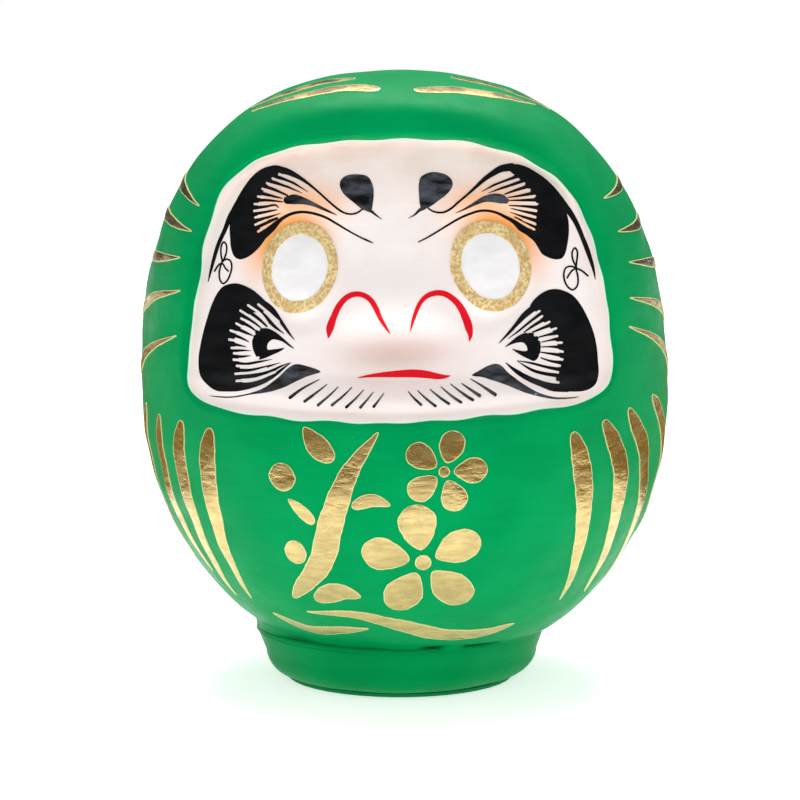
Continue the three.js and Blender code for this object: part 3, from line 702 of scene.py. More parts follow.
def foot_section():
    bottom_radius = FOOT_TOP_RADIUS - FOOT_TAPER
    rounding = FOOT_EDGE_RADIUS
    edge_centre = (bottom_radius - rounding, FOOT_LOW + rounding)
    inner_centre = (edge_centre[0] - FOOT_WALL, edge_centre[1])
    top_centre = (FOOT_TOP_RADIUS - FOOT_TOP_ROUNDING, FOOT_TOP - FOOT_TOP_ROUNDING)
    deck_hole = NECK_RADIUS - sway(JOINT_HEIGHT)
    side = [
        (bottom_radius + FOOT_TAPER * share, edge_centre[1] + FOOT_SIDE_HEIGHT * share)
        for share in (0.7, 0.3)
    ]
    return [
        (deck_hole, FOOT_TOP),
        (FOOT_TOP_RADIUS - FOOT_DECK_WIDTH, FOOT_TOP),
        *arc(top_centre, FOOT_TOP_ROUNDING, 90, 0, 5),
        *side,
        *arc(edge_centre, rounding, 0, -90, 10),
        *arc(inner_centre, rounding, -90, 0, 6),
        (FOOT_TOP_RADIUS - FOOT_WALL, FOOT_TOP - FOOT_WALL),
        (deck_hole, FOOT_TOP - FOOT_WALL),
    ]


def foot_wave(points):
    """Moves the foot's outside in and out a little, more towards the ground."""
    flat = points.reshape(-1, 3)
    turn = np.arctan2(flat[:, 1], flat[:, 0])
    swell = ripple(turn, FOOT_RIPPLE) - FOOT_PLAIN_SWELL
    depth = np.clip((FOOT_TOP - flat[:, 2]) / (FOOT_TOP - FOOT_LOW), 0, 1)
    fade = FOOT_TOP_SWELL + (1 - FOOT_TOP_SWELL) * depth
    share = 1 + FOOT_WAVE * swell * fade / FOOT_TOP_RADIUS
    flat[:, :2] *= share[:, None]
    return flat


def joint_gap(turn):
    """How far open the joint is at each turn, 0 closed and 1 open."""
    gap = np.zeros_like(turn)
    for centre, spread, amount in JOINT_GAPS:
        gap = np.maximum(gap, amount * np.exp(-(((turn - centre) / spread) ** 2)))
    return gap


def foot_ledge(turn):
    """How far the foot stands out beyond the body at each turn, 1 at the most."""
    return np.maximum(0, -np.cos(turn)) ** 2


def fillet_size(turn, gap):
    """Height of the fillet on the body at each turn, in millimetres."""
    uneven = FILLET_SIZE * (1 + ripple(turn, FILLET_RIPPLE))
    return uneven * (1 - FILLET_SHRINK * gap) + FILLET_LEAST + FILLET_ON_LEDGE * foot_ledge(turn)


def fillet_top(turn, size):
    """The fillet's upper edge on the body, and the body's radius at the joint."""
    polar = np.linspace(JOINT_POLAR, JOINT_POLAR + FILLET_CLIMB, FILLET_ROWS)
    rings = np.stack([lifted_skin(turn, np.full(len(turn), p), -FILLET_ROOT) for p in polar])
    climb = np.clip(size * FILLET_ROWS_PER_MM, 1, FILLET_ROWS - 2)
    low = np.floor(climb).astype(int)
    share = (climb - low)[:, None]
    around = np.arange(len(turn))
    upper = rings[low, around] * (1 - share) + rings[low + 1, around] * share
    return upper, np.linalg.norm(rings[0, :, :2], axis=1)


def joint_fillet():
    """Paint and glue that bridge body and foot, thin where the joint shows as a dark line of painted
    shade.
    """
    turn = np.linspace(-math.pi, math.pi, FILLET_COLUMNS, endpoint=False)
    gap = joint_gap(turn)
    size = fillet_size(turn, gap)
    upper, body_radius = fillet_top(turn, size)
    foot_radius = FOOT_TOP_RADIUS - FILLET_ROOT
    lower = around_axis(turn, foot_radius, FOOT_TOP - np.minimum(FILLET_DROP * size, FILLET_LOWEST))
    corner = np.minimum(body_radius, foot_radius) - FILLET_GROOVE * gap
    height = (FOOT_TOP + JOINT_HEIGHT) / 2
    middle = around_axis(turn, corner + FILLET_FULLNESS * foot_ledge(turn), height)
    layers = [around_axis(turn, corner - FILLET_BEHIND, height), upper]
    for t in FILLET_BEND:
        layers.append((1 - t) ** 2 * upper + 2 * t * (1 - t) * middle + t * t * lower)
    layers.append(lower)
    points = np.stack(layers, axis=1)
    quads = grid_faces(*points.shape[:2], close_rows=True, close_columns=True)
    faces = [tuple(reversed(quad)) for quad in quads]
    return points.reshape(-1, 3), faces, np.outer(gap, FILLET_OPENNESS).ravel()


# ---- Painted films -------------------------------------------------------------------
# Shapes on the face are drawn as x and height in millimetres on the upright body.

GRAIN = 0.85  # distance of the points inside a film
CURVE_STEP = 0.45
CAP_STEPS = 5
SNAP = 1e-4  # outline points nearer than this are taken as one
LEAST_HALF_WIDTH = 0.03
FILM_ROOT = 0.06  # a film starts this far inside the skin
DRAWN_SHIFT = -0.35  # from the drawings to the doll, along x
STRAND_ROOT = 1.2  # a thin strand starts this far inside the mass that it leaves
STRAND_NECK = 0.44  # least half width of a thin strand where it leaves
FINEST_MASS = 0.55  # half width from which a stroke is no thin strand
UNDER_PAINT = 0.6  # share of the paint's height that grey ink has where black laps over it


def closed_shape(points):
    """A smooth outline through the points."""
    gap = np.linalg.norm(np.diff(np.asarray(points, float), axis=0), axis=1).mean()
    return spline(points, max(2, round(gap / CURVE_STEP)), closed=True)


def brush(points):
    """Outline of a stroke through (x, height, half width) points, with round ends."""
    points = np.asarray(points, float)
    gap = np.linalg.norm(np.diff(points[:, :2], axis=0), axis=1).mean()
    line = spline(points, max(2, round(gap / CURVE_STEP)), closed=False)
    middle, half = line[:, :2], np.maximum(line[:, 2], LEAST_HALF_WIDTH)
    heading = np.gradient(middle, axis=0)
    heading /= np.linalg.norm(heading, axis=1, keepdims=True)
    left = np.stack([-heading[:, 1], heading[:, 0]], axis=1)
    turns = np.linspace(0, math.pi, CAP_STEPS + 2)[1:-1, None]
    end_cap = middle[-1] + half[-1] * (np.cos(turns) * left[-1] + np.sin(turns) * heading[-1])
    start_cap = middle[0] - half[0] * (np.cos(turns) * left[0] + np.sin(turns) * heading[0])
    sides = [middle + left * half[:, None], (middle - left * half[:, None])[::-1]]
    return np.vstack([sides[0], end_cap, sides[1], start_cap])


def even_brush(points, half):
    return brush([(x, z, half) for x, z in points])


def strand(points):
    """A brush stroke; a thin one starts further inside the mass that it leaves."""
    points = np.asarray(points, float)
    if points[:, 2].max() > FINEST_MASS:
        return brush(points)
    leaving = points[0, :2] - points[1, :2]
    root = points[0, :2] + leaving * STRAND_ROOT / np.linalg.norm(leaving)
    points[0, 2] = max(points[0, 2], STRAND_NECK)
    return brush(np.vstack([(*root, FINEST_MASS), points]))


def within(x, z, outlines):
    found = np.zeros(len(x), bool)
    for outline in outlines:
        low, high = outline.min(axis=0), outline.max(axis=0)
        near = (x >= low[0]) & (x <= high[0]) & (z >= low[1]) & (z <= high[1])
        found[near] |= winding(x[near], z[near], outline) != 0
    return found


def inner_points(outlines):
    """An even grid of points inside the outlines."""
    low = np.vstack(outlines).min(axis=0)
    high = np.vstack(outlines).max(axis=0)
    grid = np.meshgrid(*(np.arange(a, b, GRAIN) for a, b in zip(low, high)))
    x, z = (values.ravel() for values in grid)
    kept = within(x, z, outlines)
    return np.stack([x[kept], z[kept]], axis=1)


def film_mesh(masses, cuts, strokes, lift):
    """A thin closed film on the face: masses and strokes, without the cuts."""
    drawn = [*masses, *strokes]
    corners, edges = [], []
    for outline in (*masses, *cuts, *strokes):
        start, count = len(corners), len(outline)
        corners.extend(outline)
        edges.extend((start + i, start + (i + 1) % count) for i in range(count))
    corners.extend(inner_points(drawn))
    corners = [Vector(corner) for corner in corners]
    flat, _, triangles, *_ = geometry.delaunay_2d_cdt(corners, edges, [], 0, SNAP, False)
    flat = np.array([tuple(v) for v in flat])
    triangles = np.array([t for t in triangles if len(t) == 3])
    x, z = flat[triangles].mean(axis=1).T
    keep = within(x, z, drawn) & ~within(x, z, cuts)
    return close_film(flat, triangles[keep], lift)


def close_film(flat, triangles, lift):
    """Lays flat triangles on the face, and closes them with a back just inside the skin."""
    used, triangles = np.unique(triangles, return_inverse=True)
    flat, triangles = flat[used] + (DRAWN_SHIFT, 0), triangles.reshape(-1, 3)
    azimuth, polar = front_angles(flat[:, 0], flat[:, 1] + BODY_LEAN * flat[:, 0])
    top = lifted_skin(azimuth, polar, lift)
    base = lifted_skin(azimuth, polar, -FILM_ROOT)
    count = len(flat)
    a, b, c = (flat[triangles[:, k]] for k in range(3))
    turn = np.cross(b - a, c - a)
    faces = np.where((turn > 0)[:, None], triangles, triangles[:, ::-1]).tolist()
    edges = dict.fromkeys(edge for i, j, k in faces for edge in ((i, j), (j, k), (k, i)))
    rim = [(i, j) for i, j in edges if (j, i) not in edges]
    backs = [(k + count, j + count, i + count) for i, j, k in faces]
    sides = [(j, i, i + count, j + count) for i, j in rim]
    return np.vstack([top, base]), faces + backs + sides


def film_piece(name, material, masses=(), cuts=(), strokes=(), lift=None):
    height = sizes().paint_film / MM if lift is None else lift
    points, faces = film_mesh(list(masses), list(cuts), list(strokes), height)
    return new_piece(name, points, faces, material, crease=45)


def fingers(lines, half):
    return [even_brush(line, half) for line in lines]


# ---- Brows, cheeks, drops, curls and whiskers ----------------------------------------

BROW_LEFT = {
    "mass": (
        (-25.2, 129.9), (-26.8, 130.4), (-28.5, 130.2), (-30.8, 129.3), (-33.2, 127.3), (-35.3, 124.6),
        (-37, 121.8), (-38, 119.9), (-38.2, 118.3), (-38.4, 116), (-38.3, 113), (-38.1, 110.8),
        (-37.3, 109), (-36, 108.4), (-34.2, 108.9), (-32.3, 110.2), (-30.4, 112.2), (-28.8, 114.5),
        (-27.2, 116.6), (-29, 116.2), (-31, 115.8), (-31.4, 118), (-31.5, 120.5), (-31, 122.5),
        (-30, 124.5), (-28.7, 126.2), (-27.4, 127.5), (-25.8, 128.6),
    ),
    "strokes": (
        ((-36.2, 121.3, 0.7), (-38.1, 118.6, 0.65), (-39.7, 115, 0.5), (-41.4, 111.6, 0.45),
         (-42.6, 108, 0.4), (-43.4, 104.8, 0.25), (-43.8, 102.9, 0.08)),
        ((-30.4, 113.6, 0.75), (-28, 115.9, 0.8), (-26, 117.8, 0.45), (-24, 119, 0.35),
         (-22, 119.6, 0.32), (-20, 119.7, 0.3), (-17.5, 119.3, 0.3), (-15, 118.5, 0.28),
         (-12.5, 117.1, 0.25), (-10, 115.6, 0.2), (-7, 114, 0.18), (-5, 113.1, 0.2),
         (-3.9, 112.6, 0.06)),
        ((-27.5, 129.3, 1), (-25, 129.2, 0.8), (-23, 128.5, 0.65), (-21, 127.5, 0.45),
         (-19, 126.2, 0.3), (-16.5, 124.2, 0.24), (-14, 122, 0.24), (-12, 120.4, 0.24),
         (-10.6, 119.6, 0.22), (-9, 119.3, 0.2), (-7.6, 119.6, 0.2), (-6.4, 120.4, 0.18)),
        ((-27.5, 127.9, 0.42), (-23.8, 126.9, 0.33), (-19.3, 124.5, 0.05)),
        ((-29, 126.9, 0.4), (-25.2, 125.9, 0.32), (-20.7, 124.2, 0.05)),
        ((-30.2, 125.7, 0.4), (-27.2, 124.8, 0.33), (-24.2, 123.6, 0.2)),
        ((-31.1, 124.1, 0.4), (-28.3, 123.5, 0.33), (-25.4, 122.9, 0.1)),
        ((-32, 122.3, 0.4), (-29, 122.4, 0.3), (-25.3, 122.1, 0.12)),
        ((-32.4, 120.5, 0.4), (-29.5, 120.9, 0.3), (-27, 121.3, 0.2), (-26.3, 120.7, 0.08)),
        ((-32.3, 119.1, 0.38), (-29, 119.8, 0.3), (-26.8, 120.2, 0.12)),
        ((-32.1, 117.5, 0.38), (-29, 118.4, 0.3), (-25.9, 119.4, 0.05)),
        ((-31.9, 115.9, 0.35), (-29, 117.3, 0.4), (-26.8, 118.2, 0.3)),
    ),
    "fingers": (
        ((-26.2, 128.4), (-22.5, 126.9)), ((-27.8, 127.4), (-24.3, 126.1)),
        ((-29.2, 126.3), (-26, 125.2)), ((-30.3, 125), (-27.5, 124.1)), ((-31.4, 123.2), (-28, 122.9)),
        ((-32.2, 121.4), (-28.5, 121.6)), ((-32.3, 119.8), (-29, 120.3)),
        ((-32, 118.3), (-28.5, 119.2)), ((-32, 116.6), (-29.3, 117.8)), ((-31.4, 115), (-29.4, 116.2)),
    ),
    "drop": (
        (-24.2, 122.5, 0.9), (-22.5, 122.7, 1.15), (-20.5, 122.4, 0.85), (-18, 121.6, 0.5),
        (-15.5, 120.5, 0.33), (-13.5, 119.6, 0.18), (-12.4, 119.1, 0.05),
    ),
}  # fmt: skip

BROW_RIGHT = {
    "mass": (
        (27, 129.6), (29.5, 129.9), (31.6, 129.3), (33.5, 128.2), (36, 126.4), (38.5, 123.9),
        (40.6, 121), (41.5, 119.4), (41.1, 118), (41.4, 116), (41.5, 113.5), (41.2, 110.8),
        (40.7, 108.7), (39.9, 107.6), (38.7, 107.4), (37, 107.8), (35.3, 108.8), (34.4, 110.2),
        (33.4, 111.8), (31.7, 113.3), (30.2, 114.8), (31.5, 115), (33.5, 115), (34, 117), (34.2, 119),
        (34, 121), (33.3, 122.6), (32.3, 124), (31, 125.6), (29.8, 126.9), (28.2, 128.2),
    ),
    "strokes": (
        ((39.2, 121.3, 0.7), (41.1, 119, 0.68), (42.8, 116.3, 0.55), (44.2, 113.4, 0.5),
         (45.5, 110.3, 0.5), (46.6, 107, 0.45), (47.3, 104.5, 0.35), (47.7, 102.2, 0.1)),
        ((6.6, 112.7, 0.12), (8.5, 113.6, 0.18), (11, 115, 0.2), (13.5, 116.5, 0.22), (16, 117.9, 0.25),
         (18.5, 118.9, 0.27), (21, 119.5, 0.28), (23, 119.4, 0.28), (25, 118.8, 0.3), (27, 117.7, 0.38),
         (28.8, 116.6, 0.5), (30.6, 115, 0.8), (32.6, 113.8, 0.75)),
        ((9, 120.4, 0.18), (9.9, 119.8, 0.2), (11.3, 119.4, 0.22), (12.8, 119.5, 0.24),
         (14.3, 120.3, 0.24), (16, 121.7, 0.25), (18, 123.3, 0.27), (20, 125, 0.35), (22, 126.7, 0.5),
         (24, 128, 0.65), (26, 129, 0.8), (28.4, 129.3, 0.9)),
        ((29.5, 127.1, 0.42), (25.5, 125.9, 0.33), (21.5, 124, 0.05)),
        ((30.8, 125.9, 0.4), (27, 124.9, 0.32), (23, 123.6, 0.05)),
        ((32.1, 124.7, 0.38), (29, 123.9, 0.3), (26.8, 123.2, 0.15)),
        ((33.4, 123.1, 0.35), (30.5, 122.7, 0.28), (27.6, 122.4, 0.12)),
        ((34.2, 121.5, 0.35), (31, 121.6, 0.28), (27.8, 121.7, 0.12)),
        ((34.3, 119.7, 0.33), (31, 120.2, 0.25), (27.8, 120.5, 0.12)),
        ((34, 118.2, 0.33), (31, 119, 0.25), (28.2, 119.8, 0.08)),
        ((33.8, 116.7, 0.35), (31, 117.7, 0.28), (28, 118.9, 0.05)),
        ((33.8, 115.2, 0.3), (31.3, 116.5, 0.25), (29, 117.7, 0.15)),
    ),
    "fingers": (
        ((28.5, 127.4), (24.5, 126)), ((30, 126.4), (26.5, 125.3)), ((31.3, 125.4), (27.5, 124.4)),
        ((32.5, 123.9), (28.8, 123.1)), ((33.7, 122.4), (30, 122.1)), ((34.3, 120.5), (30.5, 120.9)),
        ((34.1, 118.9), (30.5, 119.7)), ((33.6, 117.5), (30.5, 118.5)), ((33.8, 115.8), (31, 117)),
        ((33.5, 114.6), (31.2, 115.9)),
    ),
    "drop": (
        (15.3, 119.2, 0.06), (17, 119.9, 0.18), (19.5, 121.1, 0.38), (22, 122.2, 0.7),
        (24.3, 122.4, 1.05), (26, 122.1, 1.1), (27, 121.7, 0.75),
    ),
}  # fmt: skip
BROW_FINGER = 0.28

CHEEK_LEFT = {
    "mass": (
        (-39.9, 102), (-36.8, 102.8), (-33.4, 101.7), (-30.4, 99.4), (-28.4, 97.2), (-30.3, 96.5),
        (-33, 96.2), (-34.5, 95.2), (-34.8, 93.6), (-36.6, 91.8), (-37.3, 90), (-37, 88), (-36.4, 86),
        (-36, 84), (-35.8, 82), (-35, 80), (-34, 79.2), (-37.5, 78.4), (-41.5, 77.9), (-44.3, 79.2),
        (-46.1, 81.2), (-46.4, 84.5), (-45.8, 88.2), (-44.6, 93), (-42.9, 97.6), (-41.4, 100.4),
    ),
    "strokes": (
        ((-31.4, 99, 0.75), (-28.2, 96.9, 0.72), (-26, 94.3, 0.45), (-24.2, 92, 0.3),
         (-22.7, 90.3, 0.06)),
        ((-32, 97.2, 0.5), (-29.6, 95.2, 0.45), (-27.5, 93.2, 0.35), (-25.2, 91.6, 0.06)),
        ((-34.6, 96.9, 0.45), (-31.5, 95, 0.35), (-29.3, 93.2, 0.2)),
        ((-35.5, 95.6, 0.35), (-32.8, 94.2, 0.3), (-30.8, 92.9, 0.15)),
        ((-36, 94.1, 0.35), (-33.6, 93.1, 0.3), (-31.8, 92, 0.15)),
        ((-37.6, 92.7, 0.4), (-35, 91.8, 0.35), (-32.8, 91, 0.15)),
        ((-38, 91, 0.35), (-35.8, 90.4, 0.3), (-33.8, 89.6, 0.1)),
        ((-38, 88.9, 0.35), (-36, 88.6, 0.25), (-34.4, 88.4, 0.08)),
        ((-37.8, 87.3, 0.25), (-35, 87.5, 0.2), (-33, 87.6, 0.1)),
        ((-37.6, 86, 0.25), (-35, 86.1, 0.25), (-32.8, 86.6, 0.1)),
        ((-37.2, 84.5, 0.35), (-34.5, 84.4, 0.3), (-31.5, 85, 0.25), (-28.2, 85.7, 0.05)),
        ((-37, 82.8, 0.35), (-33.5, 83, 0.35), (-30, 83.8, 0.3), (-26.3, 85, 0.05)),
        ((-37, 81.2, 0.4), (-33, 81.7, 0.45), (-29, 82.7, 0.4), (-26, 84.2, 0.2), (-24, 85, 0.05)),
        ((-40, 78.9, 1), (-36, 79.25, 0.85), (-33, 79.8, 0.6), (-30, 80.85, 0.5), (-27.5, 82.2, 0.4),
         (-25.5, 83.7, 0.25), (-23.6, 85.1, 0.05)),
    ),
    "fingers": (
        ((-31.5, 98.1), (-29, 96.2), (-26.5, 94.2)), ((-34, 97.9), (-31, 96), (-28.7, 93.2)),
        ((-35.9, 96.6), (-33, 95), (-30, 93)), ((-35.7, 94.8), (-33.5, 93.9), (-31.2, 92.4)),
        ((-36.9, 93.6), (-34, 92.3), (-32.3, 91.4)), ((-38.3, 91.9), (-35.5, 91.2), (-32.8, 90.6)),
        ((-38.6, 89.8), (-36.5, 89.6), (-34, 89.2)), ((-38, 87.9), (-35, 88), (-33, 87.8)),
        ((-37.4, 86.7), (-35, 86.7), (-32.7, 86.7)), ((-37.5, 85.2), (-34, 85.3), (-31.4, 86)),
        ((-36.7, 83.8), (-33, 84), (-29.5, 84.9)), ((-37, 81.9), (-33, 82.5), (-29.5, 83.6)),
        ((-36.6, 80.4), (-33, 80.9), (-30, 81.8), (-27.5, 82.8)),
    ),
    "swirl": (
        (-32.4, 91.2), (-31.8, 92.3), (-30.2, 92.8), (-28.6, 92.6), (-27, 91.8), (-25.5, 90.7),
        (-24, 89.4), (-22.8, 88.3), (-23.6, 88.6), (-25.5, 89.8), (-26.8, 90.2), (-27.8, 90.3),
        (-28.8, 89.7), (-29.3, 88.6), (-29.1, 87.9), (-28, 88), (-26.5, 88.2), (-25.1, 88.4),
        (-26.2, 87.6), (-28, 86.8), (-30, 85.9), (-31.4, 85.6), (-32.2, 86.8), (-32.8, 88.5),
        (-32.8, 90),
    ),
    "fin": (
        (-43.8, 76.5), (-38, 76.95), (-34, 77.9), (-30, 79.4), (-26.5, 81.8), (-24.2, 83.9),
        (-22.6, 84.7), (-20.8, 84.6), (-16.5, 83.1), (-19, 82.2), (-22, 81), (-25, 79.7), (-28.5, 78.7),
        (-33, 77.8), (-37, 76.8), (-40.5, 76.4),
    ),
}  # fmt: skip

CHEEK_RIGHT = {
    "mass": (
        (38.2, 100.6), (40, 100.2), (42.4, 98.8), (44.4, 96.2), (46, 93), (47.2, 89.8), (47.9, 86.5),
        (48.1, 83), (48.1, 80), (47.4, 78), (46, 77), (44.3, 76.7), (42, 76.9), (39.8, 77.3),
        (37.5, 77.9), (38.2, 79.4), (38.5, 81.5), (39, 83.3), (39.2, 85), (38.8, 87), (38.2, 89),
        (37.6, 91), (36.4, 92.6), (34.8, 94), (34, 95.5), (32.4, 96.8), (33, 98), (34.5, 99.4),
        (36.4, 100.4),
    ),
    "strokes": (
        ((34.7, 97.6, 0.8), (31, 94.9, 0.65), (29, 92.8, 0.45), (27, 90.8, 0.28), (25.2, 89, 0.08)),
        ((34.5, 94.9, 0.3), (31.8, 93.1, 0.28), (29.5, 91.4, 0.2), (27.2, 89.9, 0.05)),
        ((35.5, 93.8, 0.35), (33, 92.5, 0.3), (31, 91.3, 0.2)),
        ((37.2, 92.5, 0.3), (35, 91.8, 0.28), (33, 91.1, 0.2)),
        ((38.2, 90.5, 0.25), (36, 90.2, 0.22), (34, 89.8, 0.15)),
        ((38.8, 89.2, 0.25), (37, 89, 0.2), (35, 88.7, 0.12)),
        ((39.5, 87.2, 0.25), (37, 87.5, 0.2), (35, 87.6, 0.12)),
        ((39.6, 85.3, 0.28), (37, 85.9, 0.25), (34.8, 86.4, 0.12)),
        ((39.5, 83.6, 0.28), (37, 84.2, 0.25), (34.8, 85.1, 0.12)),
        ((39, 82.1, 0.33), (36, 82.9, 0.3), (33, 83.9, 0.25), (29.4, 84.8, 0.05)),
        ((39, 80.7, 0.4), (36, 81.3, 0.38), (33, 82.3, 0.32), (29.3, 84.7, 0.05)),
        ((41, 77.9, 1), (38, 78.3, 0.85), (35, 79.3, 0.6), (32, 80.6, 0.6), (30, 81.7, 0.55),
         (28, 83.2, 0.3), (26.6, 84.5, 0.06)),
    ),
    "fingers": (
        ((34.6, 95.8), (31.5, 94), (29, 91.9)), ((35.2, 94.6), (32.5, 92.9), (30, 91)),
        ((36.9, 93.2), (34, 92.1), (31.8, 91.2)), ((38.4, 91.6), (36, 91), (33.5, 90.4)),
        ((38.6, 89.8), (36.5, 89.6), (34.5, 89.3)), ((39.6, 88.2), (37, 88.3), (35, 88.1)),
        ((39.8, 86.1), (37.3, 86.8), (35, 87.1)), ((39.8, 84.3), (37, 85), (34.6, 85.8)),
        ((39.2, 82.9), (36.5, 83.8), (34.3, 84.7)), ((38.8, 81.4), (36, 82.2), (33, 83.1)),
        ((38.9, 79.3), (36, 80), (33, 81), (30.5, 82.3)),
    ),
    "swirl": (
        (26.5, 88), (28, 89.3), (29.5, 90.4), (31, 91), (32.6, 91), (33.8, 90.4), (34.6, 89),
        (34.8, 87.5), (34.5, 86), (33.9, 84.9), (33.2, 84.5), (32, 85), (30.5, 85.8), (29.2, 86.7),
        (28.2, 87.5), (29.5, 87.2), (30.8, 86.9), (31.7, 87), (31.5, 88.1), (30.7, 88.9), (29.3, 88.9),
        (27.8, 88.5),
    ),
    "fin": (
        (18.8, 81.9), (20.5, 82.9), (22.5, 83.9), (24.3, 84.3), (25.6, 83.8), (27.1, 82.2),
        (29.2, 80.5), (32, 78.8), (35, 77.2), (38, 76.1), (41, 75.65), (43.7, 75.5), (41.5, 75.2),
        (38.5, 75.5), (35, 76.4), (31, 77.9), (27, 79.4), (23.5, 80.5), (21, 81.4),
    ),
}  # fmt: skip
CHEEK_FINGER = 0.3

DROPS = {
    "left": (
        ((-11.7, 126.2), (-11.4, 127.2), (-10.5, 128), (-9, 128.4), (-7, 128.4), (-5.3, 128),
         (-4.4, 127), (-3.8, 125.2), (-3.75, 123.5), (-4, 121.5), (-4.4, 120), (-5.2, 120.2),
         (-6.2, 120.2), (-6.8, 120.6), (-8, 121.6), (-9.5, 122.8), (-10.8, 124), (-11.5, 125.2)),
        ((-5.5, 120.5, 0.5), (-4.3, 119.9, 0.35), (-3.2, 119, 0.2), (-1.9, 118.1, 0.05)),
    ),
    "right": (
        ((6.75, 125), (6.9, 126.6), (7.3, 127.6), (8.4, 128.3), (10, 128.7), (11.8, 128.5),
         (13.4, 127.9), (14.4, 126.9), (14.7, 125.8), (14.2, 124.6), (13, 123.3), (11.6, 122.3),
         (10.2, 121.3), (9, 120.6), (8.1, 120.3), (7.4, 120.3), (7, 121.5), (6.85, 123.2)),
        ((8, 120.6, 0.5), (6.9, 120, 0.35), (5.8, 119, 0.2), (4.3, 118.2, 0.05)),
    ),
}  # fmt: skip

CURL_HALF_WIDTH = 0.2
CURLS = {
    "left": (
        ((-40.4, 107.8), (-40.75, 109.5), (-40.6, 111.4), (-39.9, 112.3), (-39.3, 111.5),
         (-39.4, 109.8), (-40.1, 108)),
        ((-40.5, 107.6), (-39.5, 108.3), (-38.4, 108), (-38, 106.6), (-38.4, 104.8), (-39.1, 103.3),
         (-40.1, 102.6), (-40.9, 103.5), (-41.1, 105.4), (-40.6, 107.3)),
        ((-42.3, 105.4), (-41.2, 107), (-40.4, 107.3), (-39.6, 106.2), (-38.9, 105.6)),
    ),
    "right": (
        ((43.3, 105.3), (42.5, 107.2), (42.4, 108.9), (43, 109.8), (43.6, 108.9), (43.5, 107.2),
         (43.2, 105.4)),
        ((43.1, 105.2), (42, 105.6), (40.8, 105.3), (40.3, 103.8), (40.6, 102), (41.3, 100.8),
         (42.4, 100.1), (43.4, 101), (43.6, 102.8), (43.2, 104.9)),
        ((41.1, 103), (42, 104.3), (43.1, 105), (44.5, 104.4), (45.9, 103.1)),
    ),
}  # fmt: skip

WHISKER_ROOT = 0.34
WHISKER_TIP = 0.08
WHISKERS = {
    "left": (
        ((-23.4, 77.6), (-20.5, 79.5), (-16.8, 81.3)), ((-19.9, 76.9), (-14.9, 80.4)),
        ((-16.8, 76.1), (-12.2, 80)), ((-13.5, 76.2), (-9, 79.9)), ((-10.1, 75.8), (-6.2, 79.4)),
        ((-6.8, 75.8), (-3.9, 79)), ((-3.7, 76), (-1.4, 78.8)),
    ),
    "right": (
        ((7.2, 76.3), (4.2, 79.1)), ((10.5, 75.9), (6.4, 79.2)), ((13.6, 76.3), (9.2, 79.4)),
        ((16.4, 76.5), (11.7, 79.8)), ((19.1, 76.9), (13.9, 80.3)), ((20.7, 77.7), (16.5, 80.3)),
        ((24.3, 77.7), (18.5, 81.1)),
    ),
}  # fmt: skip

NOSE_LINES = {
    "left": (
        (-14.6, 90.9, 0.15), (-14.2, 93, 0.85), (-13.2, 95.8, 0.75), (-12, 98.3, 0.7),
        (-10.3, 100.2, 0.62), (-8.3, 101.1, 0.6), (-6.3, 101, 0.58), (-4.5, 100, 0.6),
        (-3.2, 98.1, 0.62), (-2.2, 95.6, 0.5), (-1.1, 93.4, 0.35), (-0.1, 91.7, 0.05),
    ),
    "right": (
        (4.6, 92.2, 0.05), (5.1, 94.2, 0.3), (5.9, 96.6, 0.45), (7, 99, 0.5), (8.5, 100.5, 0.55),
        (10.5, 101.1, 0.6), (12.6, 100.8, 0.6), (14.6, 99.5, 0.65), (16.2, 97.6, 0.75),
        (17.4, 95, 0.85), (18.2, 92.6, 0.85), (18.5, 91, 0.5), (18.3, 89.8, 0.15),
    ),
}  # fmt: skip
MOUTH = (
    (-7.8, 81.8), (-6, 82.4), (-3.5, 82.9), (-0.5, 83.3), (2.5, 83.6), (5.5, 83.7), (8.5, 83.3),
    (11, 82.6), (12.6, 82.2), (13.9, 82), (12.8, 81.5), (11, 81.3), (8.5, 81.6), (5, 81.9), (0, 82),
    (-4, 82),
)  # fmt: skip

# Each eye: middle, half sizes of the ring's outside and of the white, and lean in degrees.
EYES = {
    "left": ((-21.4, 106.9), (8.85, 10.6), (6.6, 7.8), 18),
    "right": ((23.3, 106.75), (8.9, 10.7), (6.45, 7.9), -26),
}
EYE_STEPS = 96
EYE_LAP = 0.5  # the white reaches this far under the ring
EYE_RIPPLE = ((1, 3, 1), (0.6, 7, 0), (0.4, 13, 2))
RING_WAVER_OUTSIDE = 0.006
RING_WAVER_INSIDE = 0.008


def ellipse(middle, half_sizes, lean, waver=0.0):
    """An outline whose top leans to the right by lean degrees, not quite even if waver is set."""
    turn = np.linspace(0, 2 * math.pi, EYE_STEPS, endpoint=False)
    uneven = 1 + waver * ripple(turn, EYE_RIPPLE)
    x, z = half_sizes[0] * np.cos(turn) * uneven, half_sizes[1] * np.sin(turn) * uneven
    tilt = math.radians(-lean)
    rotated = (x * math.cos(tilt) - z * math.sin(tilt), x * math.sin(tilt) + z * math.cos(tilt))
    return np.stack([middle[0] + rotated[0], middle[1] + rotated[1]], axis=1)


def brow(side, drawing, black, grey):
    cuts = fingers(drawing["fingers"], BROW_FINGER)
    strokes = [strand(line) for line in drawing["strokes"]]
    film_piece(f"brow_{side}", black, [closed_shape(drawing["mass"])], cuts, strokes)
    grey_film(f"brow_drop_{side}", grey, [brush(drawing["drop"])])


def cheek(side, drawing, black, grey):
    cuts = fingers(drawing["fingers"], CHEEK_FINGER)
    strokes = [strand(line) for line in drawing["strokes"]]
    strokes.append(closed_shape(drawing["swirl"]))
    film_piece(f"cheek_{side}", black, [closed_shape(drawing["mass"])], cuts, strokes)
    grey_film(f"cheek_fin_{side}", grey, [closed_shape(drawing["fin"])])


